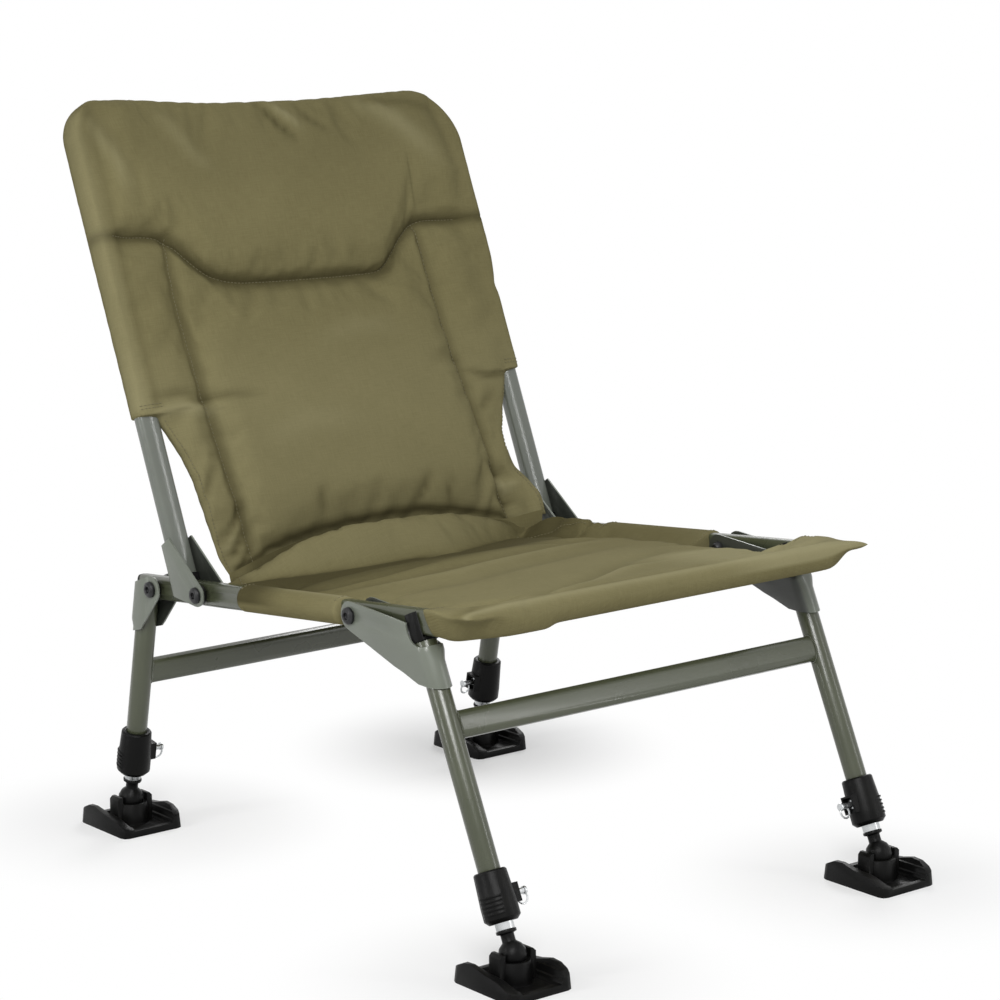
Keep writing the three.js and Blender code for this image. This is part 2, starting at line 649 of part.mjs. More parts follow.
// The back cover: a padded panel between sleeves, with a pillow above a stepped seam and a sewn
// channel down each side
function makeBackCover() {
  const rear = tube_wide / 2 + cover_cloth;
  const inner_shares = [0, 0.25, 0.5, 0.64, 0.8, 0.92, 1];
  const outer_shares = [0.1, 0.35, 0.65, 0.85, 0.95, 1];
  const channel_limit_share = 0.9;
  const side_swell_share = 0.4; // beside the channels the padding is lower
  const low_swell_share = 0.35;
  const channelAt = (width) => Math.min(channel_half_width, width * channel_limit_share);
  const half_columns = (width) => [
    ...inner_shares.map((share) => share * channelAt(width)),
    ...outer_shares.map((share) => channelAt(width) + share * (width - channelAt(width))),
  ];
  const straight = back_half_width - back_corner_radius;
  const topEdge = (x) => back_top - back_top_dip * Math.max(0, 1 - (x / straight) ** 2);
  const low_shares = [0, 0.02, 0.08, 0.16, 0.3, 0.44];
  const mid_shares = [0.7, 0.85, 0.95, 1];
  const high_shares = [0.06, 0.18, 0.38, 0.58, 0.72, 0.84, 0.92, 0.97, 1];
  const low_span = pillow_low - back_low;
  const rows = [
    ...low_shares.map((share) => ['low', share]),
    ['low', (back_sleeve_low - gap - back_low) / low_span],
    ['low', (back_sleeve_low - back_low) / low_span],
    ...mid_shares.map((share) => ['low', share]),
    ...high_shares.map((share) => ['high', share]),
  ];
  const heightAt = ([zone, share], x) => {
    if (zone === 'high') return pillowSeam(x) + share * (topEdge(x) - pillowSeam(x));
    const plain = back_low + share * low_span;
    const bend = Math.max(0, (plain - back_sleeve_low) / (pillow_low - back_sleeve_low));
    const arch = Math.max(0, 1 - (x / back_low_half_width) ** 2);
    const fade = Math.max(0, 1 - plain / back_sleeve_low);
    return plain + bend * (pillowSeam(x) - pillow_low) + arch * fade * (back_low_mid - back_low);
  };
  const ringAt = (row) => {
    const width = backHalfWidth(heightAt(row, back_half_width));
    const xs = half_columns(width);
    const columns = [...xs.slice(1).map((x) => -x).reverse(), ...xs];
    const [zone, share] = row;
    const at = heightAt(row, back_half_width);
    const end = edgeShare(back_top - at, back_top_round) * edgeShare(at - back_low, back_low_round);
    const puff = Math.sin(Math.PI * Math.min(1, share)) ** (zone === 'high' ? 0.5 : 0.4);
    const forward = (x) => {
      const channel = channelAt(width);
      const inside = Math.abs(x) < channel;
      const t = inside ? Math.abs(x) / channel : (Math.abs(x) - channel) / (width - channel);
      const swell = inside ? (1 - t ** 6) ** 0.5 : Math.sin(Math.PI * t) ** 0.5 * side_swell_share;
      const low_ease = ease((at - back_low) / (back_sleeve_low - back_low));
      const base = back_low_depth + (rear - back_low_depth) * ease((at - back_low) / back_swell_height);
      const seam = zone === 'low' && share === 1 ? seam_depth : 0;
      const keep = zone === 'high' && !inside ? 1 : puff;
      return base + back_pad * swell * keep * (low_swell_share + (1 - low_swell_share) * low_ease) - seam;
    };
    const point = (x, front) => {
      const rim = edgeShare(width - Math.abs(x), back_side_round) * end;
      const depth = front ? -forward(x) : rear * (at < back_sleeve_low ? 0.5 : 1);
      return new THREE.Vector3(x, back_offset + depth * Math.max(rim, least_rim_share), heightAt(row, x));
    };
    const front = columns.map((x) => point(x, true));
    const behind = columns.slice(1, -1).filter((_, i) => i % 2 === 1)
      .map((x) => point(x, false)).reverse();
    return [...front, ...behind];
  };
  const tunnel = bentTube(longer(back_path, overrun), flat_outline(gap), back_place);
  const cover = solid(loft(rows.map(ringAt), (p) => new THREE.Vector2(p.x, p.y))).subtract(tunnel);
  addMesh(back, 'back_cover', cover, olive_cloth);
}

// A pair of legs hangs on its pivot. In its group +Z points up the legs.
function makeLegPair(pair_name, spec) {
  const pair = new THREE.Group();
  const pivot = onRail(spec.pivot_at);
  const lean = radians(spec.lean_deg);
  pair.position.copy(pivot);
  pair.rotation.x = lean;
  group.add(pair);
  const ball_at = (ball_height - pivot.z - spec.offset * Math.sin(lean)) / Math.cos(lean);
  const collar_low = ball_at + collar_above_ball;
  const pin_at = collar_low + pin_up;
  const tube_low = collar_low + collar_shoulder;
  const web_side = Math.sign(spec.offset);
  const bracket = makeLegBracket(pair, spec, web_side);
  const pinHole = (side, radius, from, to) => crosswise(radius, from, to, hole_sides)
    .rotate([0, 0, side > 0 ? 180 : 0]).translate([0, 0, pin_at]);
  const tube = sleeve(leg_radius - leg_wall, leg_radius, tube_low + gap, spec.tube_top);
  const collar = makeCollar(web_side);
  const saddle = makeLegSaddle(pair, spec);
  const inner = makeInnerLeg(pin_at, collar_low, ball_at, (spec.tube_top - collar_low) * spec.inner_share);

  for (const [name, side] of sides) {
    const leg = new THREE.Group();
    leg.position.set(side * rail_half_track, spec.offset, 0);
    pair.add(leg);
    const place = `${pair_name}_${name}`;
    const turn = side > 0 ? 180 : 0;
    addMesh(leg, `${pair_name}_bracket_${name}`, bracket, bracket_steel);
    const outer = tube.subtract(pinHole(side, pin_radius + gap, 0, leg_radius * 2));
    addMesh(leg, `outer_leg_${place}`, outer, steel);
    if (pair_name === 'front') addMesh(leg, `front_saddle_${name}`, saddle, black_plastic);
    addMesh(leg, `collar_${place}`, collar(side).translate([0, 0, collar_low]), black_plastic);
    addMesh(leg, `inner_leg_${place}`, inner.rotate([0, 0, turn]), aluminium);
    const pin = makeLockPin().rotate([0, 0, turn]);
    addMesh(leg, `lock_pin_${place}`, pin.translate([0, 0, pin_at]), aluminium);
    addMesh(leg, `foot_stem_${place}`, makeStem().translate([0, 0, ball_at]), black_plastic);

    const foot = new THREE.Group();
    foot.position.set(0, 0, ball_at);
    foot.rotation.x = -lean;
    leg.add(foot);
    addMesh(foot, `foot_${place}`, makeFoot(), black_plastic);
  }
  const cut = upright(leg_radius + gap, -spec.crossbar_down - crossbar_tall * 2, 0);
  const bar_outline = (grow) => lobedOutline(crossbar_tall, crossbar_deep, 0, grow);
  const barAlong = (grow, reach) => solid(loft([-reach, reach].map((x) => bar_outline(grow)
    .map(([y, z]) => new THREE.Vector3(x, y, z))), (p) => new THREE.Vector2(p.y, p.z)));
  let bar = barAlong(0, rail_half_track).subtract(barAlong(-crossbar_wall, rail_half_track + overrun))
    .translate([0, spec.offset, -spec.crossbar_down]);
  for (const [, side] of sides) bar = bar.subtract(cut.translate([side * rail_half_track, spec.offset, 0]));
  addMesh(pair, `${pair_name}_crossbar`, bar, steel);
}

// A leg bracket is a pressed channel: wide beside the rail, drawn in where it wraps the leg
function makeLegBracket(pair, spec, web_side) {
  const wrap = leg_radius + gap;
  const low = Math.min(spec.plate_low, spec.heel_low);
  const draw_from = Math.max(joggle_top, low + joggle_height * 2);
  const corner_share = 0.75;
  const wide = { half: plate_inner, web: wrap, corner: wrap * corner_share };
  const narrow = { half: wrap, web: wrap, corner: wrap };
  const stations = [
    { z: low - overrun, ...narrow }, { z: draw_from - joggle_height, ...narrow },
    { z: draw_from, ...wide }, { z: pivot_end_radius * 2, ...wide },
  ];
  const walls = channelWall(stations, web_side, sheet, Math.abs(spec.offset) + pivot_end_radius * 2);
  const web_at = spec.offset + web_side * (wrap + sheet);
  const heel_at = spec.offset - web_side * leg_radius;
  const outline = gusset([
    [web_at, spec.plate_top], [web_at, spec.plate_low], [heel_at, spec.heel_low],
  ], pivot_end_radius, bracket_half_width + sheet);
  const across = [-bracket_half_width * 2, bracket_half_width * 2];
  let cuts = railInGroup(pair, spec.pivot_at, bracket_clearance)
    .add(crosswise(frame_bore, ...across, hole_sides));
  if (spec.saddle_cut) {
    cuts = cuts.add(crosswise(spec.saddle_cut, ...across).translate([0, web_at, spec.plate_top]));
  }
  return walls.outside.subtract(walls.inside)
    .intersect(outline.subtract(cuts).translate([0, -spec.offset, 0]));
}

// A plastic saddle closes the top of a front leg and cups the rail between two ears
function makeLegSaddle(pair, spec) {
  const half = plate_inner - gap;
  const deep = leg_radius - saddle_inset;
  const low = spec.tube_top + gap;
  const cup = box([-half, -deep, low], [half, deep, low + saddle_ear_height]);
  const wall_round = upright(half + 2 * gap, low - overrun, low + saddle_ear_height + overrun);
  return cup.intersect(wall_round)
    .subtract(railInGroup(pair, spec.pivot_at, gap).translate([0, -spec.offset, 0]))
    .add(upright(leg_radius - leg_wall - gap, low - plug_reach, low + gap));
}

// The collar: a tapered grip with a shoulder under the outer leg, a frame around the spring pin and
// fine ribs across its outer face
function makeCollar(web_side) {
  const bore = leg_radius + gap;
  const body = revolve([
    [inner_leg_radius + gap, 0], [collar_low_radius - collar_round, 0], [collar_low_radius, collar_round],
    [collar_low_radius, collar_height / 3], [collar_top_radius, collar_height - collar_chamfer],
    [collar_top_radius - collar_chamfer, collar_height], [bore, collar_height], [bore, collar_shoulder],
    [inner_leg_radius + gap, collar_shoulder],
  ]);
  const reach = collar_low_radius + pin_boss_reach;
  const tall = window_half_height + window_frame;
  const wide = window_half_width + window_frame;
  const frame = box([bore + gap, -wide, pin_up - tall], [reach, wide, pin_up + tall]);
  const window = box(
    [collar_low_radius - window_depth, -window_half_width, pin_up - window_half_height],
    [reach + overrun, window_half_width, pin_up + window_half_height]);
  const hole = crosswise(pin_radius + gap, 0, reach, hole_sides).translate([0, 0, pin_up]);
  let ribs = sleeve(
    collar_top_radius - collar_chamfer, collar_low_radius + grip_rib_reach,
    grip_rib_from, grip_rib_from + grip_rib_height);
  for (let i = 1; i < grip_rib_count; i++) {
    ribs = ribs.add(sleeve(
      collar_top_radius - collar_chamfer, collar_low_radius + grip_rib_reach,
      grip_rib_from + i * grip_rib_pitch, grip_rib_from + i * grip_rib_pitch + grip_rib_height));
  }
  const grip = ribs.intersect(box([0, -bore, 0], [collar_low_radius * 2, bore, collar_height]));
  return (side) => {
    const inboard = side > 0 ? 180 : 0;
    return body.add(frame.rotate([0, 0, inboard]))
      .add(grip.rotate([0, 0, 180 - inboard + web_side * side * grip_turn_deg]))
      .subtract(window.rotate([0, 0, inboard])).subtract(hole.rotate([0, 0, inboard]));
  };
}

// The inner leg: a thin tube with a row of lock holes on its inboard side
function makeInnerLeg(pin_at, collar_low, ball_at, inside) {
  const low = ball_at + flange_above_ball + flange_thick + gap;
  const bore = inner_leg_radius - inner_leg_wall;
  const pitch = inside / (lock_hole_count + 1);
  const hole = crosswise(pin_radius + gap, inner_leg_radius / 2, inner_leg_radius * 2, hole_sides);
  let inner = sleeve(bore, inner_leg_radius, low, collar_low + inside, inner_leg_sides);
  for (let i = 0; i < lock_hole_count; i++) {
    inner = inner.subtract(hole.translate([0, 0, pin_at + i * pitch]));
  }
  return inner;
}

// The lock pin with its washer and wire ring. Its tip stops against the inner leg, short of the hole.
function makeLockPin() {
  const tip = inner_leg_radius + gap;
  const end = collar_low_radius + pin_boss_reach + pin_reach;
  const washer = collar_low_radius - window_depth + gap;
  const head_radius = pin_radius + pin_wire_radius;
  const rod = revolve([
    [0, tip], [pin_radius, tip], [pin_radius, washer], [pin_washer_radius, washer],
    [pin_washer_radius, washer + pin_washer_thick], [pin_radius, washer + pin_washer_thick],
    [pin_radius, end - pin_head], [head_radius, end - pin_head], [head_radius, end], [0, end],
  ], pin_sides).rotate([0, 90, 0]);
  const ring = solid(new THREE.TorusGeometry(pin_ring_radius, pin_wire_radius, wire_sides, bolt_sides)
    .rotateX(Math.PI / 2).translate(end - pin_head * 2, 0, -pin_ring_radius));
  return rod.add(ring);
}

// The foot stem: plug, flange, neck and ball in one moulding
function makeStem() {
  const ball_steps = 6;
  const start = Math.asin(neck_radius / ball_radius);
  const ball = Array.from({ length: ball_steps + 1 }, (_, i) => {
    const angle = Math.PI - (Math.PI - start) * (i / ball_steps);
    return [ball_radius * Math.sin(angle), ball_radius * Math.cos(angle)];
  });
  const plug = inner_leg_radius - inner_leg_wall - gap;
  const flange_top = flange_above_ball + flange_thick;
  return revolve([
    ...ball, [neck_radius, flange_above_ball], [flange_radius, flange_above_ball + flange_thick / 4],
    [flange_radius, flange_top], [plug, flange_top], [plug, flange_top + stem_plug_length],
    [0, flange_top + stem_plug_length],
  ], stem_sides);
}

// A rounded rectangle at a height
function plateRing(width, length, corner, z) {
  const corner_steps = 2;
  const quarters = [[1, 1], [-1, 1], [-1, -1], [1, -1]];
  return quarters.flatMap(([sx, sy], quarter) => Array.from({ length: corner_steps + 1 }, (_, i) => {
    const angle = (Math.PI / 2) * (quarter + i / corner_steps);
    return new THREE.Vector3(
      sx * (width / 2 - corner) + corner * Math.cos(angle),
      sy * (length / 2 - corner) + corner * Math.sin(angle), z);
  }));
}

// The foot: a wide tray with a low wall in front and behind, an arched cheek along both sides, and
// a cup with two ears that hold the ball. Its origin is the ball's centre.
function makeFoot() {
  const flatten = (p) => new THREE.Vector2(p.x, p.y);
  const floor_at = -ball_height;
  const low = floor_at + foot_floor / 2;
  const ring = (inset, height, corner) => plateRing(
    foot_width - 2 * inset, foot_length - 2 * inset, corner, floor_at + height);
  const block = solid(loft([
    ring(0, 0, foot_corner), ring(foot_wall_slope, cheek_height, foot_corner)], flatten));
  const above_wall = block.translate([0, 0, foot_wall_height]);
  const pocket_inset = foot_wall_slope + foot_wall_thick;
  const pocket_corner = foot_corner / 2;
  const pocket = solid(loft([
    ring(pocket_inset, foot_floor, pocket_corner),
    ring(pocket_inset, foot_wall_height + overrun, pocket_corner)], flatten));
  const cup = revolve([
    [0, low], [cup_radius, low], [cup_radius, floor_at + foot_wall_height],
    [cup_rim_radius, -cup_below_ball], [0, -cup_below_ball],
  ]);
  const cheek = block.intersect(makeCheek(floor_at));
  const ball_steps = 8;
  const ball_room = ball_radius + 2 * gap;
  const ball_space = revolve(Array.from({ length: ball_steps + 1 }, (_, i) => {
    const angle = Math.PI * (1 - i / ball_steps);
    return [ball_room * Math.sin(angle), ball_room * Math.cos(angle)];
  }));
  const ear = crossPrism([
    [ear_inside, low], [ear_inside, ear_above_ball], [ear_outside - ear_chamfer, ear_above_ball],
    [ear_outside, ear_above_ball - ear_chamfer], [ear_outside, low],
  ], -ear_half_length, ear_half_length).rotate([0, 0, -90]);
  const side = cheek.add(ear);
  const tray = block.subtract(above_wall).subtract(pocket);
  return tray.add(cup).add(side).add(side.rotate([0, 0, 180])).subtract(ball_space);
}

// A cheek is where two prisms meet: its outline from the front, with two steps on the inner slope,
// and its outline from the side, an arch that stands higher at one end.
function makeCheek(floor_at) {
  const floor_top = floor_at + foot_floor;
  const top = floor_at + cheek_height;
  const low = floor_at + foot_floor / 2;
  const half_length = foot_length / 2;
  const top_inside = foot_width / 2 - foot_wall_slope - cheek_top_width;
  const step_shares = [ // out, up
    [0, 0], [0.2, 0.16], [0.24, 0.32], [0.44, 0.36], [0.5, 0.58], [0.54, 0.7], [0.74, 0.74], [1, 1]];
  const inner_slope = step_shares.map(([out, up]) => [
    cheek_inside + out * (top_inside - cheek_inside), floor_top + up * (top - floor_top)]);
  const from_front = [
    [cheek_inside, low], ...inner_slope, [foot_width / 2, top], [foot_width / 2, low]];
  const arch_shares = [ // along, up
    [1, 0.36], [0.86, 0.48], [0.5, 0.7], [0, 0.83], [-0.36, 1], [-0.62, 0.96], [-0.86, 0.74], [-1, 0.57]];
  const arch = arch_shares.map(([along, up]) => [along * half_length, floor_at + up * cheek_height]);
  const from_side = [[-half_length, low], [half_length, low], ...arch];
  return crossPrism(from_front, -half_length, half_length).rotate([0, 0, -90])
    .intersect(crossPrism(from_side, 0, foot_width));
}

makeSeatFrame();
makeEndCaps();
makePivots();
makeSeatCover();
makeBackFrame();
makeBackBrackets();
makeBackCover();
for (const [pair_name, spec] of Object.entries(leg_specs)) makeLegPair(pair_name, spec);

// The origin goes under the middle of the whole chair
group.updateMatrixWorld(true);
const reach = new THREE.Box3().setFromObject(group, true);
group.position.y = -(reach.min.y + reach.max.y) / 2;

export default group;
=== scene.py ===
# %% [markdown]
# # A carp fishing chair
# A low folding chair for a river bank: a padded cloth stretched over two bent tubes, on four legs
# that fold, slide out and stand on feet that tilt. The packed model is loaded first as a fixed
# frame, and every piece made here rides on one of its bodies. Lengths in the helpers below are in
# millimetres, because that is how a chair maker thinks, and Blender gets them in metres.

# %% Load the frame
import json
import math
import bmesh
import bpy
import numpy as np
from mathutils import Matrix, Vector
from mathutils.bvhtree import BVHTree

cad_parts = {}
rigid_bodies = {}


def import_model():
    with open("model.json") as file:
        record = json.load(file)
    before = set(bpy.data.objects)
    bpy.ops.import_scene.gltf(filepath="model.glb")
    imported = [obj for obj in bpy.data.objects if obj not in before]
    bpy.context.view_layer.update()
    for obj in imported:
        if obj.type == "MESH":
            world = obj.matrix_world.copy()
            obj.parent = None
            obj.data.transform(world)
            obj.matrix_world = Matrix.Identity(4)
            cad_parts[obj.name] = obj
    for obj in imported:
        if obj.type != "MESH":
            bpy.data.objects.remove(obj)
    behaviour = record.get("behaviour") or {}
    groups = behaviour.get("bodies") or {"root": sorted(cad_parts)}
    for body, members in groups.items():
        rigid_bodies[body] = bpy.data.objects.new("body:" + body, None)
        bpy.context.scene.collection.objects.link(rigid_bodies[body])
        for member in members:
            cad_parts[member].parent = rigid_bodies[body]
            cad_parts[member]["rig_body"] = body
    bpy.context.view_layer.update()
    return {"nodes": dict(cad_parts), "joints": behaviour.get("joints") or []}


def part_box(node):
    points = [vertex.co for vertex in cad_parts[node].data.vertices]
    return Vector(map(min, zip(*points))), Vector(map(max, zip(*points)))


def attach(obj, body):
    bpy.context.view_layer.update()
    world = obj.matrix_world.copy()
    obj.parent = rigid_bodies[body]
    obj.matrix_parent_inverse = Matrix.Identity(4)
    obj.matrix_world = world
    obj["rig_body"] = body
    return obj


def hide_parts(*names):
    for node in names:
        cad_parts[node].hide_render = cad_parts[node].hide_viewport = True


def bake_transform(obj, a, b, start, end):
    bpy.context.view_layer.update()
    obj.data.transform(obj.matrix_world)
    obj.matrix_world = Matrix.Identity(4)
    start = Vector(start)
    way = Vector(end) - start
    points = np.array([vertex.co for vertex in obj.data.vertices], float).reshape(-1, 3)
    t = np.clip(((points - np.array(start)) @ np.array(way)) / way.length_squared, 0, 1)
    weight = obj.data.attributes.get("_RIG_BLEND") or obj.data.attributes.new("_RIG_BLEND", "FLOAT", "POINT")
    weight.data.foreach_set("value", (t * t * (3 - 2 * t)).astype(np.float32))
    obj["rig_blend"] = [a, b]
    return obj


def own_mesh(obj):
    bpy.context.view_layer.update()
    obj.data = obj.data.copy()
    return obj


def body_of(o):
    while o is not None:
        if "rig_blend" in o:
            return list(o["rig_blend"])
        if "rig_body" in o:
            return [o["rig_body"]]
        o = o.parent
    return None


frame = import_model()
MM = 0.001

# %% [markdown]
# ## Boards
# The seat climbs towards the front, the back leans away and each pair of legs stands at its own
# slant. A seam is easy to describe in the plane of its own panel and hard in the room. So each
# panel gets a board: a flat frame with x across the chair, `up` along the panel and `out` towards
# the person who sits on it. The places of the pivots come from the frame's joints.

# %% Boards for the seat, the back and the legs
hinges = [joint for joint in frame["joints"] if joint["type"] == "hinge"]
pivots = {joint["name"]: np.array(joint["pos_m"]) / MM for joint in hinges}


class Board:
    """A tilted frame: x across, out from the board and up along it, all in mm."""

    def __init__(self, origin, out, up):
        self.origin, self.out, self.up = (np.array(v, float) for v in (origin, out, up))

    def place(self, x, out, up):
        """Points in the room, in metres."""
        x, out, up = np.broadcast_arrays(x, out, up)
        across = np.stack([x, 0 * x, 0 * x], -1)
        return (self.origin + across + out[..., None] * self.out + up[..., None] * self.up) * MM


def tilted(origin, degrees):
    """A board that stands on end and leans back by so many degrees."""
    angle = math.radians(degrees)
    return Board(origin, (0, -math.cos(angle), math.sin(angle)), (0, math.sin(angle), math.cos(angle)))


RAIL_RISE, BACK_RECLINE, FRONT_LEAN, REAR_LEAN = 6.05, 23.3, 25.3, -10.64
back_board = tilted(pivots["back_fold"], BACK_RECLINE)
front_board = tilted(pivots["front_legs_fold"], FRONT_LEAN)
rear_board = tilted(pivots["rear_legs_fold"], REAR_LEAN)
rise = math.radians(RAIL_RISE)
rail_back = np.array([0, math.cos(rise), -math.sin(rise)])
PIVOT_ALONG_RAIL = 197.1
rail_out = (0, math.sin(rise), math.cos(rise))
seat_board = Board(pivots["back_fold"] - PIVOT_ALONG_RAIL * rail_back, rail_out, rail_back)
print("seat board starts at", (seat_board.origin * MM).round(4))

# %% [markdown]
# ## Shader maths
# A finish is a small sum: paint colour plus a bit of dust, minus wear along the edges. Written as
# boxes and wires it is hard to read, so a `Flow` wraps a socket and lets Python's own signs add
# the Math nodes. `Finish.put` adds any other node from its type, its settings and its inputs.


# %% Sockets that can be added and multiplied
class Flow:
    """The value of a socket on its way through a finish."""

    def __init__(self, finish, socket):
        self.finish, self.socket = finish, socket

    def __add__(self, term):
        return self.finish.maths("ADD", self, term)

    def __sub__(self, term):
        return self.finish.maths("SUBTRACT", self, term)

    def __rsub__(self, term):
        return self.finish.maths("SUBTRACT", term, self)

    def __mul__(self, term):
        return self.finish.maths("MULTIPLY", self, term)

    __radd__ = __add__
    __rmul__ = __mul__

    def sine(self):
        return self.finish.maths("SINE", self)

    def absolute(self):
        return self.finish.maths("ABSOLUTE", self)

    def part(self, axis):
        """One number of a vector: X, Y or Z."""
        return self.finish.put("ShaderNodeSeparateXYZ", None, {0: self}, axis)

    def ramp(self, low, high, start=0.0, end=1.0):
        """Runs smoothly from start at low to end at high."""
        settings = {"interpolation_type": "SMOOTHSTEP"}
        return self.finish.put("ShaderNodeMapRange", settings, {0: self, 1: low, 2: high, 3: start, 4: end})


print("reflected signs of a flow:", [name for name in vars(Flow) if name.startswith("__r")])


# %% A finish under construction
def add_node(tree, kind, settings, inputs):
    """Adds a node, sets it up first and then links or fills its inputs."""
    node = tree.nodes.new(kind)
    for key, value in (settings or {}).items():
        setattr(node, key, value)
    for key, value in (inputs or {}).items():
        if isinstance(value, bpy.types.NodeSocket):
            tree.links.new(value, node.inputs[key])
        else:
            node.inputs[key].default_value = value
    return node


class Finish:
    """A material, or the world: put() adds a node and gives back one of its outputs."""

    def __init__(self, name, kind="materials"):
        self.made = getattr(bpy.data, kind).new(name)
        self.made.use_nodes = True
        self.tree = self.made.node_tree
        self.tree.nodes.clear()

    def put(self, kind, settings=None, inputs=None, output=0):
        inputs = {key: getattr(value, "socket", value) for key, value in (inputs or {}).items()}
        node = add_node(self.tree, kind, settings, inputs)
        return Flow(self, node.outputs[output]) if node.outputs else None

    def maths(self, operation, *terms):
        return self.put("ShaderNodeMath", {"operation": operation}, dict(enumerate(terms)))

    def place(self):
        """Where a point lies in the room, in metres, with the chair at rest."""
        return self.put("ShaderNodeTexCoord", output="Object")

    def noise(self, place, scale, detail, roughness):
        inputs = {"Vector": place, "Scale": scale, "Detail": detail, "Roughness": roughness}
        return self.put("ShaderNodeTexNoise", None, inputs)

    def blend(self, share, first, second):
        """Mixes two colours."""
        return self.put("ShaderNodeMix", {"data_type": "RGBA"}, {0: share, 6: first, 7: second}, 2)

    def stretch(self, place, factors):
        return self.put("ShaderNodeMapping", None, {"Vector": place, "Scale": factors})

    def ray(self, kind):
        """One for rays of that kind, Camera or Glossy, and nothing for all others."""
        return self.put("ShaderNodeLightPath", output=f"Is {kind} Ray")

    def done(self, colour, height, strength, depth, **sockets):
        """The surface: its colour, its bump and any other sockets of the Principled node."""
        bump = {"Strength": strength, "Distance": depth, "Height": height}
        inputs = {"Base Color": colour, **{key.replace("_", " "): value for key, value in sockets.items()},
                  "Normal": self.put("ShaderNodeBump", None, bump)}
        surface = self.put("ShaderNodeBsdfPrincipled", None, inputs)
        self.put("ShaderNodeOutputMaterial", None, {"Surface": surface})
        return self.made


def rgb(red, green, blue):
    """A colour as it looks on a screen, from 0 to 255, turned into linear light."""
    shares = [c / 255 for c in (red, green, blue)]
    return tuple(s / 12.92 if s <= 0.04045 else ((s + 0.055) / 1.055) ** 2.4 for s in shares) + (1.0,)


print("olive in linear light", [round(c, 3) for c in rgb(118, 112, 80)[:3]])

# %% [markdown]
# ## Powder coated steel
# The tubes and brackets are steel under a baked powder paint, grey with a touch of green. Powder
# melts into a skin with a faint orange peel, so the highlight is narrow but its edge trembles. A
# fine noise in the bump gives that. The edges, where the Bevel node's normal differs from the
# plain one, are rubbed a little lighter, as on a chair that has been folded often. The brackets and
# the back tubes get lighter copies of the paint, which is painted light. The sides of the brackets
# that look inwards get painted shade, nearly black.


# %% Paint for tubes and brackets
RAIL_MIDDLE = 0.24


def powder_paint(name, colour, pale, roughness, inner_shade=0.0):
    f = Finish(name)
    place = f.place()
    peel = f.noise(place, 900, 2, 0.6)
    cloud = f.noise(place, 14, 3, 0.55)
    speck = f.noise(place, 2600, 1, 0.5).ramp(0.62, 0.74)
    plain = f.put("ShaderNodeNewGeometry", output="Normal")
    round_edge = f.put("ShaderNodeBevel", {"samples": 4}, {"Radius": 0.0012})
    product = {"operation": "DOT_PRODUCT"}
    closeness = f.put("ShaderNodeVectorMath", product, {0: plain, 1: round_edge}, "Value")
    # Here it is only wear: the edges are rubbed lighter.
    worn = (1 - closeness).ramp(0.03, 0.3) * cloud.ramp(0.42, 0.62)
    base = f.blend(cloud.ramp(0.3, 0.72, 0, 0.45), colour, pale)
    base = f.blend(speck * 0.25, base, pale)
    base = f.blend(worn * 0.7, base, rgb(178, 182, 174))
    # Painted shade: the sides that look inwards and the cheek beside each rail go towards near black.
    if inner_shade:
        x, across = place.part("X"), plain.part("X")
        inwards = (x * across).ramp(-0.05, 0.05, 1, 0)
        inner_cheek = x.absolute().ramp(RAIL_MIDDLE - 0.004, RAIL_MIDDLE + 0.004, 1, 0)
        inside = across.absolute().ramp(0.5, 0.8) * f.maths("MAXIMUM", inwards, inner_cheek)
        base = f.blend(inside * inner_shade, base, rgb(30, 32, 29))
    rough = roughness + cloud.ramp(0.35, 0.7, -0.03, 0.05) - worn * 0.08
    skin = {"Specular_IOR_Level": 0.5, "Coat_Weight": 0.2, "Coat_Roughness": 0.12}
    return f.done(base, peel, 0.28, 0.0004, Roughness=rough, **skin)


steel_paint = powder_paint("grey green powder paint", rgb(65, 69, 51), rgb(77, 81, 63), 0.28)
# Painted light: the brackets and the back tubes get lighter copies of the legs' paint, for the light that
# they catch.
bracket_paint = powder_paint("bracket powder paint", rgb(102, 107, 96), rgb(116, 121, 110), 0.36, 0.85)
tube_paint = powder_paint("back tube powder paint", rgb(100, 104, 96), rgb(114, 118, 109), 0.12)
print("paints", [m.name for m in (steel_paint, bracket_paint, tube_paint)])

# %% [markdown]
# ## Bare aluminium, blackened bolts and moulded plastic
# The inner legs and the spring pins are bare drawn metal: bright, with hairlines along the draw.
# The bolts are blackened and oily. Collars, saddles and feet are moulded in a black plastic whose
# mould was spark eroded, which leaves a fine even grain, and grit from the bank greys it slightly.


# %% Metal and plastic
def drawn_metal(name):
    f = Finish(name)
    place = f.place()
    hair = f.noise(f.stretch(place, (900, 900, 30)), 1, 2, 0.6)
    cloud = f.noise(place, 25, 2, 0.5)
    base = f.blend(cloud.ramp(0.3, 0.7), rgb(186, 189, 190), rgb(214, 216, 217))
    rough = hair.ramp(0.3, 0.7, 0.2, 0.34)
    return f.done(base, hair, 0.12, 0.0002, Roughness=rough, Metallic=0.92)


def black_metal(name):
    f = Finish(name)
    cloud = f.noise(f.place(), 160, 3, 0.6)
    base = f.blend(cloud.ramp(0.4, 0.7), rgb(22, 22, 23), rgb(44, 44, 45))
    return f.done(base, cloud, 0.1, 0.0003, Roughness=cloud.ramp(0.3, 0.7, 0.32, 0.46), Metallic=0.4)


def moulded_plastic(name, colour, pale):
    f = Finish(name)
    place = f.place()
    grain = f.noise(place, 1900, 2, 0.6)
    flow = f.noise(place, 22, 3, 0.6)
    upwards = f.put("ShaderNodeNewGeometry", output="Normal").part("Z").ramp(0.2, 1.0)
    dust = upwards * flow.ramp(0.45, 0.75) * 0.06
    base = f.blend(flow.ramp(0.35, 0.7), colour, pale)
    base = f.blend(dust, base, rgb(88, 86, 80))
    rough = 0.34 + grain.ramp(0.3, 0.7, -0.05, 0.06) + dust * 0.5
    return f.done(base, grain, 0.35, 0.0004, Roughness=rough, Specular_IOR_Level=0.12)


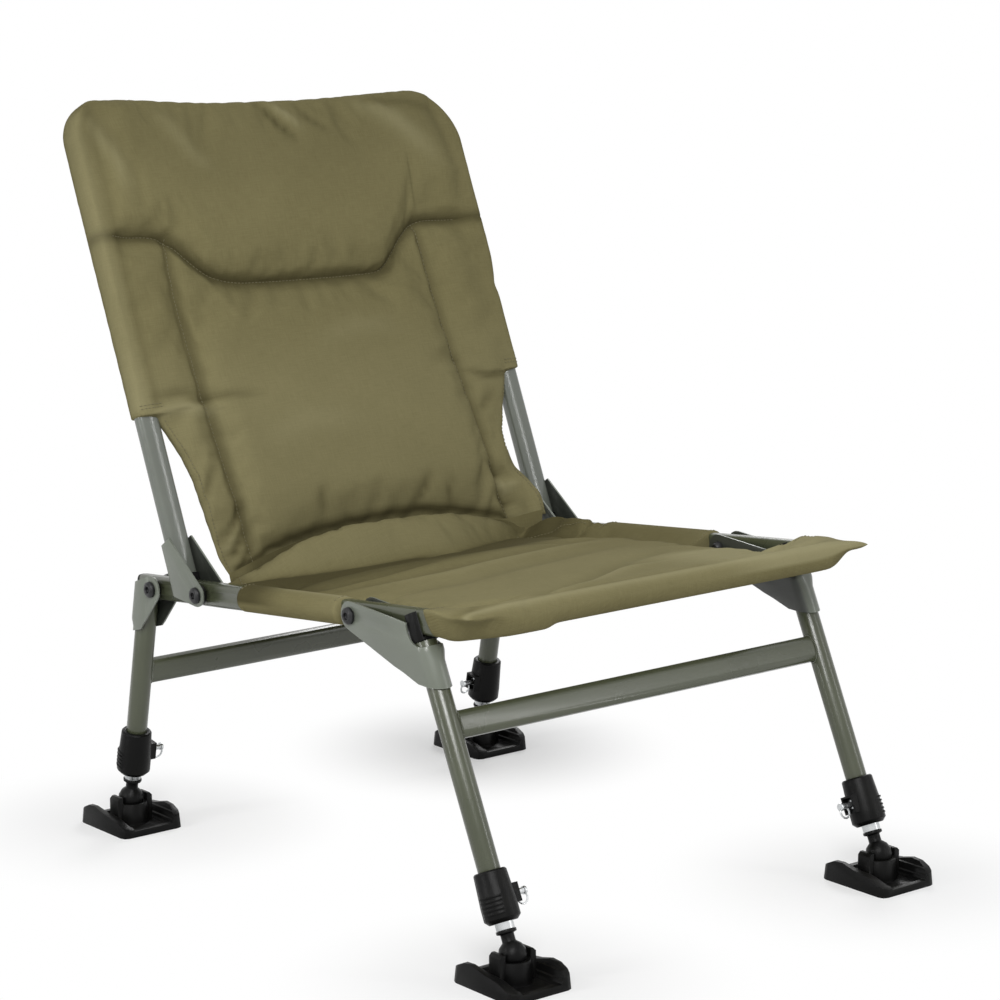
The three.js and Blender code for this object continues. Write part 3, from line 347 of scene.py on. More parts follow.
aluminium = drawn_metal("drawn aluminium")
bolt_black = black_metal("blackened steel")
foot_plastic = moulded_plastic("black nylon", rgb(8, 8, 8), rgb(15, 15, 14))
print("metal and plastic", aluminium.name, bolt_black.name, foot_plastic.name)

# %% [markdown]
# ## Olive cloth
# The cover is a plain woven polyester. Each thread passes over one neighbour and under the next,
# and no two threads took the dye alike. The weave follows the cloth, so it reads the piece's own
# UV map, which is in metres along the cloth. The attribute `seam` is painted shade: it darkens the
# cloth in the seams, creases and folds, in the seat's valley and elsewhere where shade falls. The
# other attribute is painted light: it lightens the crowns of the rolls, the ridges and the lit slopes.


# %% Woven cloth and thread
THREAD_PITCH = 1.1


def woven_cloth(name, dark, light):
    f = Finish(name)
    uv = f.put("ShaderNodeUVMap", {"uv_map": "cloth"})
    warp, weft = ((uv.part(axis) * (1000 / THREAD_PITCH) * math.pi).sine() for axis in "XY")
    over = (warp * weft).ramp(-0.6, 0.6)
    weave = warp.absolute() * over + weft.absolute() * (1 - over)
    slub = f.noise(f.stretch(uv, (60, 900, 1)), 1, 2, 0.6)
    slub_up = f.noise(f.stretch(uv, (900, 60, 1)), 1, 2, 0.6)
    cloud = f.noise(f.place(), 9, 3, 0.55)
    seam, worn = (f.put("ShaderNodeAttribute", {"attribute_name": key}, output="Fac")
                  for key in ("seam", "worn"))
    tone = cloud * 0.35 + slub * 0.35 + slub_up * 0.35 + weave * 0.3
    base = f.blend(tone.ramp(0.35, 1.05), dark, light)
    # Painted shade: the attribute seam mixes in a dark olive.
    base = f.blend(seam * 0.62, base, rgb(58, 53, 33))
    # Painted light: the other attribute mixes in a pale olive.
    base = f.blend(worn * 0.6, base, rgb(168, 162, 126))
    height = weave * 0.8 + slub * 0.35 + slub_up * 0.35
    return f.done(base, height, 0.4, 0.0004, Roughness=0.95, Specular_IOR_Level=0.04)


def sewing_thread(name, colour):
    f = Finish(name)
    twist = f.noise(f.place(), 3000, 1, 0.5)
    base = f.blend(twist, colour, rgb(126, 120, 88))
    return f.done(base, twist, 0.4, 0.0003, Roughness=0.7)


olive = woven_cloth("olive woven polyester", rgb(104, 98, 67), rgb(128, 121, 86))
thread = sewing_thread("olive sewing thread", rgb(84, 79, 54))
print("cloth", olive.name, thread.name)

# %% [markdown]
# ## The hard pieces
# The packed model has every tube, bracket, bolt and foot at its real size, as loose triangles with
# knife edges. Real sheet metal and mouldings have small round edges that catch the light. So each
# node is copied, its doubles are merged, flat areas are joined into one face and a small bevel
# runs along its corners. The copy stands for the node, which stays in the simulation.


# %% Copies of the nodes with rounded edges
SAME_POINT, SAME_PLANE, SHARP = 2e-6, math.radians(0.6), 38


def linked(name, data):
    """A new object in the scene."""
    thing = bpy.data.objects.new(name, data)
    bpy.context.scene.collection.objects.link(thing)
    return thing


def meshed(name, points, edges=(), faces=()):
    """A new object whose mesh comes from plain lists."""
    mesh = bpy.data.meshes.new(name)
    mesh.from_pydata(points, edges, faces)
    return linked(name, mesh)


def rounded_copy(name, width):
    mesh = frame["nodes"][name].data.copy()
    mesh.name = "finished_" + name
    shape = bmesh.new()
    shape.from_mesh(mesh)
    bmesh.ops.remove_doubles(shape, verts=shape.verts, dist=SAME_POINT)
    bmesh.ops.dissolve_limit(shape, angle_limit=SAME_PLANE, verts=shape.verts, edges=shape.edges)
    shape.to_mesh(mesh)
    shape.free()
    piece = linked(mesh.name, mesh)
    bevel = piece.modifiers.new("round edges", "BEVEL")
    bevel.width, bevel.segments = width * MM, 2
    bevel.limit_method, bevel.angle_limit = "ANGLE", math.radians(SHARP)
    bevel.use_clamp_overlap = True
    return as_plain_mesh(piece, SHARP)


def as_plain_mesh(piece, angle):
    """Applies the modifiers and shades the result smooth, except across sharp edges."""
    graph = bpy.context.evaluated_depsgraph_get()
    mesh = bpy.data.meshes.new_from_object(piece.evaluated_get(graph))
    piece.modifiers.clear()
    piece.data = mesh
    mesh.shade_smooth()
    mesh.set_sharp_from_angle(angle=math.radians(angle))
    return piece


def hand_over(piece, body, slot, material, *nodes):
    """Gives a piece its finish, the body it rides on and the nodes that it stands for."""
    piece.data.materials.clear()
    piece.data.materials.append(material)
    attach(piece, body)
    if nodes:
        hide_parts(*nodes)
    return piece


# %% Which finish and which bevel in mm each node has
bevels = {
    ("frame_steel", steel_paint): {"seat_frame": 0.3, "outer_leg": 0.3, "crossbar": 0.3},
    ("back_steel", tube_paint): {"back_frame": 0.3},
    ("bracket_steel", bracket_paint): {"bracket": 0.5},
    ("black_plastic", foot_plastic): {
        "saddle": 0.6, "collar": 0.4, "end_cap": 0.3, "spacer": 0.3, "foot": 0.7},
    ("black_bolt", bolt_black): {"bolt": 0.4},
    ("aluminium", aluminium): {"inner_leg": 0.2, "lock_pin": 0.2},
}
hard_pieces = {}
for name in sorted(frame["nodes"]):
    if name.endswith("_cover"):
        continue
    slot, material, width = next((*finish, width) for finish, widths in bevels.items()
                                 for part, width in widths.items() if part in name)
    piece = rounded_copy(name, width)
    hard_pieces[name] = hand_over(piece, body_of(frame["nodes"][name])[0], slot, material, name)
print(len(hard_pieces), "hard pieces,", sum(len(p.data.polygons) for p in hard_pieces.values()), "faces")

# %% [markdown]
# ## How a cover is built
# A cover is two sheets of cloth, one in front and one behind, that meet all round. Rows run up the
# panel and follow its sewn seams, columns run across, and both crowd together near an edge, where
# the cloth turns over the tube. That grid could be modelled by hand, but a rule for the outline,
# the padding and the seams keeps each of them easy to change.


# %% Small curves
def ease(t):
    t = np.clip(t, 0, 1)
    return t * t * (3 - 2 * t)


def bell(away, width):
    """One on a line, and nearly nothing from two widths away."""
    return np.exp(-((away / width) ** 2))


def edge_share(inset, radius, square=2):
    """How thick the cover is near its edge: nothing at the edge, full from one radius on."""
    return np.clip(1 - (1 - np.clip(inset / radius, 0, 1)) ** square, 0, 1) ** (1 / square)


def crowded(count, power=1.7):
    """Shares from 0 to 1 that crowd together near both ends."""
    t = np.linspace(-1, 1, count)
    return (np.sign(t) * (1 - (1 - np.abs(t)) ** power) + 1) / 2


def distance_to(line, x, up):
    """Distance of each point to a line of (x, up) corners, and how far along the line it is."""
    line = np.array(line, float)
    best, along, walked = np.full(np.shape(x), np.inf), np.zeros(np.shape(x)), 0.0
    whole = np.linalg.norm(np.diff(line, axis=0), axis=1).sum()
    for a, b in zip(line[:-1], line[1:]):
        step = b - a
        length = np.linalg.norm(step)
        t = np.clip(((x - a[0]) * step[0] + (up - a[1]) * step[1]) / length**2, 0, 1)
        away = np.hypot(x - a[0] - t * step[0], up - a[1] - t * step[1])
        closer = away < best
        along = np.where(closer, (walked + t * length) / whole, along)
        best = np.where(closer, away, best)
        walked += length
    return best, along


def fold(line, x, up, depth, width):
    """A soft valley of that depth along a line, which fades out at both its ends."""
    away, along = distance_to(line, x, up)
    return depth * bell(away, width) * np.sin(np.pi * np.clip(along, 0.02, 0.98)) ** 0.6


def painted_fold_shading(folds, x, up, strength):
    """Painted shade in the valleys of the folds, above nothing, and painted light on their ridges, below
    nothing.
    """
    return -strength * sum(fold(line, x, up, amount / 4, width * 0.8) for line, amount, width in folds)


print("edge of a cover", edge_share(np.array([0, 2, 6, 12]), 12).round(2))


# %% Two sheets that meet all round
def closed_cover(name, front, rear, across, upwards):
    """Front and rear are grids of points, equal along their rims. Across and upwards are the cloth's
    UV, and the rear sheet's cloth lies a metre beside the front's."""
    rows, columns = front.shape[:2]
    rim = np.zeros((rows, columns), bool)
    rim[[0, -1]] = rim[:, [0, -1]] = True
    first = np.arange(rows * columns).reshape(rows, columns)
    second = np.where(rim, first, -1)
    second[~rim] = rows * columns + np.arange((~rim).sum())
    faces, corners = [], []
    for r in range(rows - 1):
        for c in range(columns - 1):
            ring = [(r, c), (r, c + 1), (r + 1, c + 1), (r + 1, c)]
            faces.append([first[i] for i in ring])
            corners += [(across[i], upwards[i]) for i in ring]
            faces.append([second[i] for i in reversed(ring)])
            corners += [(across[i] + 1.0, upwards[i]) for i in reversed(ring)]
    piece = meshed(name, np.concatenate([front.reshape(-1, 3), rear[~rim]]).tolist(), faces=faces)
    layer = piece.data.uv_layers.new(name="cloth")
    layer.data.foreach_set("uv", np.array(corners, np.float32).ravel())
    piece.data.update()
    return piece, first, second


def walked(points, axis):
    """Distance along the rows or columns of a grid, from its middle, in metres."""
    steps = np.linalg.norm(np.diff(points, axis=axis), axis=-1)
    total = np.insert(np.cumsum(steps, axis=axis), 0, 0, axis=axis)
    return total - np.take(total, [total.shape[axis] // 2], axis=axis)


def floats(mesh, name, values):
    """Stores one number for each vertex."""
    layer = mesh.attributes.new(name, "FLOAT", "POINT")
    layer.data.foreach_set("value", np.asarray(values, np.float32).ravel())


three_points = np.array([[[0.0, 0, 0], [1, 0, 0], [2, 0, 0]]])
print("walked from the middle of a row:", walked(three_points, 1))

# %% [markdown]
# ## Cloth simulation
# Padding pushes the cloth out between its seams, and the cloth puckers where a seam holds it. Air
# pressure in Blender's cloth does the same. The seams and the edges are pinned, and the cloth is a
# little longer than the pattern, so it has to find folds of its own. How far a point may
# move is capped, so that the cover keeps the size it has in the packed model.


# %% Puff up a cover between its seams
PUFF_FRAMES, SPARE_CLOTH, COVER_SHARP = 20, 0.03, 80


def puff_up(piece, pinned, pressure, cap):
    """Moves the points that aren't held outwards, by cap at the most."""
    rest = np.array([v.co for v in piece.data.vertices])
    group = piece.vertex_groups.new(name="sewn")
    for level in np.unique(pinned.round(1)):
        if level > 0:
            group.add([int(i) for i in np.flatnonzero(pinned.round(1) == level)], float(level), "REPLACE")
    cloth = piece.modifiers.new("cloth", "CLOTH")
    settings = cloth.settings
    settings.vertex_group_mass, settings.pin_stiffness = "sewn", 1.0
    settings.quality, settings.mass = 6, 0.25
    settings.use_pressure, settings.uniform_pressure_force = True, pressure
    settings.tension_stiffness = settings.compression_stiffness = 18
    settings.shear_stiffness, settings.bending_stiffness = 8, 0.6
    settings.shrink_min = -SPARE_CLOTH
    settings.effector_weights.gravity = 0
    cloth.collision_settings.use_collision = False
    for number in range(1, PUFF_FRAMES + 1):
        bpy.context.scene.frame_set(number)
    graph = bpy.context.evaluated_depsgraph_get()
    moved = np.array([v.co for v in piece.evaluated_get(graph).data.vertices]) - rest
    piece.modifiers.remove(cloth)
    piece.vertex_groups.clear()
    bpy.context.scene.frame_set(1)
    length = np.linalg.norm(moved, axis=1, keepdims=True)
    moved *= np.minimum(1, cap * MM / np.maximum(length, 1e-9))
    piece.data.vertices.foreach_set("co", (rest + moved).ravel())
    piece.data.update()
    print(piece.name, "moved up to", (length.max() / MM).round(1), "mm, mean", (length.mean() / MM).round(2))


def sewn_cover(name, front, rear, across, upwards, held, held_behind, pressure, cap, **painted_shading):
    """A cover from two sheets, held, puffed up and made finer, with its painted shade and painted light
    stored for its finish.
    """
    piece, first, second = closed_cover(name, front, rear, across, upwards)
    pins = np.zeros(len(piece.data.vertices))
    pins[first] = held
    pins[second] = np.maximum(pins[second], held_behind)
    puff_up(piece, pins, pressure, cap)
    for attribute, grid in painted_shading.items():
        values = np.zeros(len(pins))
        values[first] = grid
        floats(piece.data, attribute, values)
    finer = piece.modifiers.new("finer", "SUBSURF")
    finer.levels = finer.render_levels = 1
    finer.uv_smooth = "PRESERVE_BOUNDARIES"
    return as_plain_mesh(piece, COVER_SHARP)


print("the cloth is", SPARE_CLOTH * 100, "percent longer than its pattern")

# %% [markdown]
# ## The back cover
# The back is one padded panel between two sleeves that slip over the tube. A long pillow crosses
# its top and ends in a stepped seam: level in the middle, climbing at both ends to the sleeves. A
# sewn channel runs down beside each sleeve. The two sides differ a little, as sewn cloth does, so
# each seam has its own list of corners.

# %% Outline and seams of the back
TUBE_X, TUBE_DEPTH, BEND, TUBE_SKIN = 240, 33.7, 52, 14.4
BACK_HALF, BACK_LOW, BACK_BAR = 255, 16, 511
FREE_BELOW, LEVEL_BELOW, SLEEVE_FROM, PILLOW_UP = 196, 199, 205, 323.3
LEFT_CORNER, RIGHT_CORNER, LEFT_TOP, RIGHT_TOP = 46, 66, 540, 532
left_edge_up = [14, 37, 80, 125, 150, 171, 186, 194, 197]
left_edge = [184, 194, 201, 206, 213, 222, 229, 232, 255]
right_edge_up = [14, 30, 42, 56, 70, 84, 107, 125, 153, 171, 189, 194, 197]
right_edge = [228, 227, 225, 221, 217, 213, 209, 209, 219, 227, 234, 236, 255]
top_x, top_up = [-255, -215, -175, -76, 55, 174, 255], [540, 541, 540, 531, 528, 531, 532]
crease_x, crease_up = [-175, -155, -131, -91, -32, 27, 107, 177, 192], [22, 28, 38, 46, 50, 51, 47, 33, 23]
seam_x = [-262, -246, -207, -187, -170, -152, -138, -122, -95, -49,
          28, 95, 103, 112, 130, 148, 159, 178, 212, 262]
seam_up = [389, 389, 387, 386, 380, 362, 346, 334, 327, 325,
           323, 323, 326, 336, 355, 371, 376, 377, 375, 373]
left_channel = [(-155, 30), (-158, 60), (-165, 110), (-173, 206), (-177, 300), (-176, 345), (-170, 381)]
right_channel = [(191, 20), (182, 65), (175, 130), (166, 206), (160, 260), (158, 315), (158, 374)]


def smoothly(x, places, values, reach=12):
    """Interpolates between corners and rounds them off over the given reach."""
    return np.mean([np.interp(x + r, places, values) for r in np.linspace(-reach, reach, 7)], axis=0)


def back_half(x, up):
    """Half the panel's width at that height, on the side where x lies."""
    on_left = np.asarray(x) < 0
    radius = np.where(on_left, LEFT_CORNER, RIGHT_CORNER)
    corner = np.clip((up - (np.where(on_left, LEFT_TOP, RIGHT_TOP) - radius)) / radius, 0, 1)
    power = np.where(on_left, 2.0, 1.75)
    half = np.where(on_left, np.interp(up, left_edge_up, left_edge), np.interp(up, right_edge_up, right_edge))
    return half - radius * (1 - (1 - corner**power) ** (1 / power))


def pillow_seam(x):
    return smoothly(x, seam_x, seam_up)


def back_low(x):
    """The lower edge, which arches up in the middle and a little at the right."""
    return BACK_LOW + 28 * np.clip(1 - (x / 186) ** 2, 0, 1) + 8 * ease((x - 150) / 40)


def back_top(x):
    return smoothly(x, top_x, top_up, 25)


def pillow_share(x, up):
    """Nothing at the pillow's seam, one at the top of the back."""
    seam = pillow_seam(x)
    return np.clip((up - seam) / (back_top(x) - seam), 0, 1)


def channel_x(line, up):
    return np.interp(up, [p[1] for p in line], [p[0] for p in line])


def off_tube(x, beyond):
    """How far a point lies outside the middle line of a bent tube. Beyond counts from its bar."""
    side = np.abs(x) - TUBE_X
    turn = np.hypot(np.maximum(side + BEND, 0), np.maximum(beyond + BEND, 0)) - BEND
    return np.where((beyond > -BEND) & (side > -BEND), turn, np.maximum(side, beyond))


print("the pillow's seam climbs from", pillow_seam(28).round(), "to", pillow_seam(-250).round(), "mm")


# %% Rows and columns of the back
SIDE_COLUMNS, MIDDLE_COLUMNS = 13, 51
COLUMNS = 2 * SIDE_COLUMNS + MIDDLE_COLUMNS - 2
ARCH_REACH, WIDEST_CHANNEL = 180, 0.93


def back_grid():
    """x and up of every grid point, with the zone (0 below the pillow's seam, 1 above) of each row."""
    low = np.concatenate([np.linspace(BACK_LOW, 30, 6), np.linspace(33, 190, 24), [194, 195.5, 197, 199, 203],
                          np.linspace(209, 300, 15), [305, 309, 312.5, 315.5, 318, 320, 321.8, PILLOW_UP]])
    high = np.concatenate([[0.007, 0.016, 0.028, 0.042, 0.06, 0.085], np.linspace(0.11, 0.9, 26),
                           [0.93, 0.955, 0.975, 0.99, 1]])
    sides, middle = crowded(SIDE_COLUMNS, 1.5), crowded(MIDDLE_COLUMNS, 1.15)
    rows = []
    for zone, level in [(0, v) for v in low] + [(1, v) for v in high]:
        x = np.linspace(-1, 1, COLUMNS) * BACK_HALF
        for _ in range(3):
            seam = pillow_seam(x)
            if zone == 0:
                bend = max(0.0, (level - LEVEL_BELOW) / (PILLOW_UP - LEVEL_BELOW))
                arch = (back_low(x) - BACK_LOW) * max(0.0, 1 - (level - BACK_LOW) / ARCH_REACH)
                up = level + bend * (seam - PILLOW_UP) + arch
                half, channel_up = back_half(x, np.full(COLUMNS, level)), up
            else:
                up = seam + level * (back_top(x) - seam)
                half, channel_up = back_half(x, up), seam
            left = -channel_x(left_channel, channel_up[SIDE_COLUMNS - 1])
            right = channel_x(right_channel, channel_up[COLUMNS - SIDE_COLUMNS])
            left, right = min(left, half[0] * WIDEST_CHANNEL), min(right, half[-1] * WIDEST_CHANNEL)
            x = np.concatenate([-half[0] + sides[:-1] * (half[0] - left),
                                -left + middle[:-1] * (left + right), right + sides * (half[-1] - right)])
        rows.append((x, up, zone))
    return (np.array(values) for values in zip(*rows))


grid_x, grid_up, grid_zone = back_grid()
print("grid of the back", grid_x.shape, "up from", grid_up.min().round(1), "to", grid_up.max().round(1))

# %% [markdown]
# The depth of the front sheet is the tube's own, plus the padding of each panel, minus the seams
# and the creases that the cloth has taken. A crease is a line of corners, a depth and a width.

# %% Depth of the front and rear sheets
back_creases = [
    ([(-246, 209), (-213, 214), (-153, 204), (-108, 199)], -3.4, 6),
    ([(-240, 197), (-205, 199), (-160, 190)], 2.2, 8),
    ([(118, 214), (150, 218), (172, 211)], -3.0, 5),
    ([(172, 200), (200, 191), (240, 190)], -3.4, 5),
    ([(-14, 526), (-4, 508), (6, 492), (20, 474)], -4.6, 5),
    ([(2, 524), (14, 508), (30, 488)], 3.0, 6),
    ([(36, 520), (46, 502), (68, 480)], -2.8, 5),
    ([(-232, 520), (-214, 470), (-206, 430)], 1.8, 10),
    ([(110, 524), (160, 490), (205, 440)], 2.2, 16),
    ([(120, 520), (180, 512), (225, 498)], -2.2, 7),
    ([(-150, 520), (-120, 470), (-100, 450)], 1.2, 12),
    ([(-185, 130), (-196, 108), (-203, 96)], -2.6, 5),
    ([(-160, 90), (-172, 66), (-186, 52)], -4.2, 5),
    ([(-158, 60), (-172, 44), (-186, 36)], -4.6, 4),
    ([(-156, 44), (-168, 30), (-182, 22)], -4.2, 4),
    ([(-164, 74), (-176, 56), (-188, 44)], 2.6, 5),
    ([(168, 96), (182, 80), (198, 84)], -4.2, 5),
    ([(180, 74), (190, 62), (204, 66)], 3.2, 5),
    ([(178, 60), (190, 46), (200, 50)], -4.4, 4),
    ([(176, 150), (190, 160), (204, 170)], -2.4, 6),
    ([(60, 56), (72, 74), (78, 92)], -3.2, 5),
    ([(110, 50), (104, 68), (106, 86)], -3.4, 4),
    ([(-60, 60), (-66, 78), (-62, 96)], -2.2, 6),
    ([(-20, 250), (30, 262), (90, 256)], 0.9, 16),
    ([(-120, 150), (-60, 166), (10, 160)], 0.9, 18),
]


def corner_flare(x, up):
    """The lower right corner of the back is pulled forward, towards the seat's own corner."""
    return 25 * ease((x - 186) / 34) * ease((96 - up) / 52)


def back_front_depth(x, up, zone):
    """Forward of the tube's middle plane, in mm."""
    width = back_half(x, np.minimum(up, 500))
    channel = np.where(x < 0, -channel_x(left_channel, up), channel_x(right_channel, up))
    inside = np.abs(x) < channel
    t = np.where(inside, np.abs(x) / channel, (np.abs(x) - channel) / np.maximum(width - channel, 1))
    t = np.clip(t, 0, 1)
    seam, lowest = pillow_seam(x), back_low(x)
    low_share = np.clip((up - lowest) / (seam - lowest), 0, 1)
    high_share = pillow_share(x, up)
    rolled = edge_share(up - lowest + 3, 40)
    base = 11 * ease((up - 30) / 70)
    dome = np.sqrt(np.clip(1 - t**4, 0, 1))
    swell = np.sin(np.pi / 2 * np.clip((1 - low_share) / 0.5, 0, 1)) ** 0.55
    lumbar = rolled * (3 + 11 * dome * swell) * ease((1 - low_share) / 0.04)
    side = (3.2 + 2.0 * low_share) * np.sin(np.pi * t) ** 0.6
    side = side * ease(low_share / 0.3) * ease((1 - low_share) / 0.1)
    pillow = 11.5 * np.sqrt(np.clip(1 - (np.abs(x) / (width + 2)) ** 6, 0, 1))
    pillow = pillow * (np.sin(np.pi * high_share**0.78) ** 0.52) * (1 - 0.25 * high_share)
    shelf = ease((np.abs(x) - 216) / 26) * ease((up - 300) / 30)
    padding = np.where(zone == 1, pillow, np.where(inside, lumbar, side))
    depth = base + padding + shelf * (6 - padding) + corner_flare(x, up)
    return depth + sum(fold(line, x, up, amount, width) for line, amount, width in back_creases)


def puckers(away, along, reach, size):
    """Short ripples that stand across a seam and die out beside it."""
    ripple = np.sin(along * 0.37 + 2.1 * np.sin(along * 0.061))
    ripple = ripple + 0.6 * np.sin(along * 0.83 + 1.3 * np.sin(along * 0.11))
    return size * ripple * np.exp(-away / reach) * (0.55 + 0.45 * np.sin(along * 0.043 + 1))


SEAM_LENGTH, CHANNEL_LENGTH = 560, 360


def back_seam_depth(x, up):
    """How deep the sewn seams and their puckers lie, and how near each kind of seam is."""
    away_seam, along_seam = distance_to(list(zip(seam_x[1:-1], seam_up[1:-1])), x, up)
    near_pillow = np.minimum(np.abs(up - pillow_seam(x)), away_seam)
    channels = [distance_to(line, x, up) for line in (left_channel, right_channel)]
    near_channel = np.minimum(channels[0][0], channels[1][0])
    depth = 5.0 * bell(near_pillow, 7.5) + 3.4 * bell(near_channel, 5.5)
    depth = depth + puckers(near_pillow, along_seam * SEAM_LENGTH, 16, 0.75)
    for away, along in channels:
        depth = depth + puckers(away, along * CHANNEL_LENGTH, 15, 0.7)
    return depth, near_pillow, near_channel


print(len(back_creases), "creases in the back")


# %% The back cover, sewn and puffed up
def back_painted_shading(x, up, zone, near_pillow, near_channel):
    """Painted shade in the seams, the crease above the seat, the folds, the pillow's upper part and a line on
    the left sleeve, and painted light on the ridges, the lower back and the left sleeve's side.
    """
    above_crease = up - np.interp(x, crease_x, crease_up)
    # Painted shade in the crease where the back meets the seat.
    crease = 0.35 * bell(np.clip(above_crease, 0, None), 12) + bell(above_crease - 3, 5)
    crease = crease * (x < 190) * (0.2 + 0.8 * ease((x + 182) / 28))
    seam = np.max([bell(near_pillow, 7.5), 0.7 * bell(near_channel, 4.5), crease], axis=0)
    tone = painted_fold_shading(back_creases, x, up, 0.8)
    # Painted shade on the pillow's upper part.
    high = np.where(zone == 1, pillow_share(x, up), 0)
    on_sleeve = up > SLEEVE_FROM
    # Painted shade: a dark line along the left sleeve.
    edge_line = 0.3 * bell(x + 233, 3.5) * on_sleeve
    seam = np.clip(seam + np.clip(tone, 0, 1) + 0.22 * ease((high - 0.35) / 0.4) + edge_line, 0, 1.4)
    # Painted light on the ridges, on the lower back and on the left sleeve's side.
    worn = np.clip(-tone, 0, 1) + 0.22 * ease((300 - up) / 120) * np.clip(1 - seam, 0, 1)
    return seam, worn + 0.28 * ease((-238 - x) / 5) * on_sleeve


def make_back_cover():
    x, up = grid_x, grid_up
    zone = np.repeat(grid_zone[:, None], x.shape[1], axis=1)
    inset_side = np.maximum(np.abs(np.where(x > 0, x[:, [-1]], x[:, [0]])) - np.abs(x), 0)
    inset_top, inset_low = back_top(x) - up, up - up[[0]]
    free = up < FREE_BELOW
    side_rim = edge_share(inset_side, 11, np.where(free, 2, 4.5))
    rim = side_rim * edge_share(inset_top, 13, 2.6) * edge_share(inset_low, 9)
    seam_depth, near_pillow, near_channel = back_seam_depth(x, up)
    seam_depth = seam_depth * np.where(free, 1, ease((236 - np.abs(x)) / 22))
    off = off_tube(x, up - BACK_BAR)
    tube_skin = np.sqrt(np.clip(TUBE_SKIN**2 - off**2, 0, None)) * ~free
    forward = np.maximum(back_front_depth(x, up, zone) - seam_depth, tube_skin)
    behind = np.where(free, -3.0 + corner_flare(x, up), -11 + 4 * ease(1 - (np.abs(x) / 215) ** 4))
    behind = np.where(tube_skin > 0, np.minimum(behind, -tube_skin), behind)
    middle = np.where(free, (forward + behind) / 2, 0.0)
    front, rear = (back_board.place(x, middle + (sheet - middle) * rim - TUBE_DEPTH, up)
                   for sheet in (forward, behind))
    held = np.maximum(bell(near_pillow, 5), bell(near_channel, 5))
    inner = edge_share(inset_side, 16) * edge_share(inset_top, 30) * edge_share(inset_low, 10)
    held = np.maximum(held, 1 - inner)
    held = np.maximum(held, bell(np.abs(x) - TUBE_X, 10) * 0.9)
    # Painted shade and painted light for the cloth's colour.
    seam, worn = back_painted_shading(x, up, zone, near_pillow, near_channel)
    return sewn_cover("padded_back", front, rear, walked(front, 1), up * MM, held, 0.9,
                      pressure=4, cap=6, seam=seam, worn=worn)


back_cover = make_back_cover()
print("back cover", len(back_cover.data.vertices), "vertices")

# %% [markdown]
# ## The seat cover
# The seat is a taut padded panel. Sleeves hold it on the two rails and on the front bar, and it is
# cut away beside the front brackets. Behind, it swells up to meet the back in a long dark crease,
# and in front of that swell the cloth lies in a valley. The front corners are cut square although
# the tube below is bent round, so two flat ears stick out there.

# %% Outline of the seat
SEAT_FRONT, SEAT_BAR, SEAT_REAR = -255, -243, 225
SEAT_HALF, NOTCH_HALF, SLEEVE_END, SEAT_SKIN, UNDERSIDE = 256, 217, 125.5, 15.2, 12.8
seat_edge_at = [SEAT_FRONT, -181.4, -180.6, -44.2, -43.2, 124.5, SLEEVE_END]
seat_edge_half = [SEAT_HALF, SEAT_HALF, NOTCH_HALF, NOTCH_HALF, SEAT_HALF, SEAT_HALF, NOTCH_HALF]
valley_x = [-215, -166, -99, -18, 83, 140, 188]
valley_at = [125, 132, 128, 120, 135, 162, 193]
foot_x = [-205, -158, -136, -108, -55, 9, 64, 104, 143, 190, 215]
foot_at = [214, 204, 195, 188, 182, 182, 176, 190, 206, 220, 223]
crest_x = [-192, -158, -108, -48, 22, 100, 143, 192]
crest_height = [8, 17, 34, 44, 43, 39.5, 32, 22]
sag_at, sag_depth = [-254, -243, -226, -190, -150, -100, 0, 70, 130], [0, 0, 3, 9, 12, 14, 15, 15, 15]
dome_at, dome_height = [-230, -190, -120, -20, 60, 110, 170, 225], [0, 2, 8, 12, 12, 7, 2, 2]


def seat_half(at):
    """Half the seat's width: wide at the sleeves, notched for the brackets, narrower at the crease."""
    t = np.clip((at - SLEEVE_END) / (SEAT_REAR - SLEEVE_END), 0, 1)
    narrower = 221 - 16 * ease((t - 0.6) / 0.4)
    return np.where(at > SLEEVE_END, narrower, np.interp(at, seat_edge_at, seat_edge_half))


def bar_lift(at):
    """The cloth lies a little higher over the front bar than over the rails."""
    return 4 * ease((SEAT_BAR + BEND - at) / BEND)


def seat_top(x, at):
    """Height of the upper sheet above the rails' middle plane, in mm."""
    sag = smoothly(at, sag_at, sag_depth) * ease((236 - np.abs(x)) / 20)
    dome = smoothly(at, dome_at, dome_height, 20) * np.clip(1 - (x / 212) ** 2, 0, 1)
    floor = TUBE_SKIN + bar_lift(at) - sag + dome
    crest, foot = np.interp(x, crest_x, crest_height), np.interp(x, foot_x, foot_at)
    t = np.clip((at - foot) / np.maximum(SEAT_REAR - foot, 6), 0, 1)
    swell = 0.35 * t + 0.65 * np.sin(np.pi / 2 * t)
    wide = ease((NOTCH_HALF - np.abs(x)) / 30)
    dip = fold(list(zip(foot_x, foot_at)), x, at, -4.0, 16)
    dip = dip + fold(list(zip(valley_x, valley_at)), x, at, -4.0, 30)
    corner = 8 * bell(x - NOTCH_HALF, 22) * ease((-150 - at) / 25) * ease((at + 225) / 20)
    wall = corner + 21 * ease((x - 190) / 28) * ease((at - 110) / 20) * ease((232 - x) / 10)
    return floor + (crest - floor) * swell * wide + dip * wide + wall


print("half the seat's width at its rear edge", seat_half(SEAT_REAR), "mm")


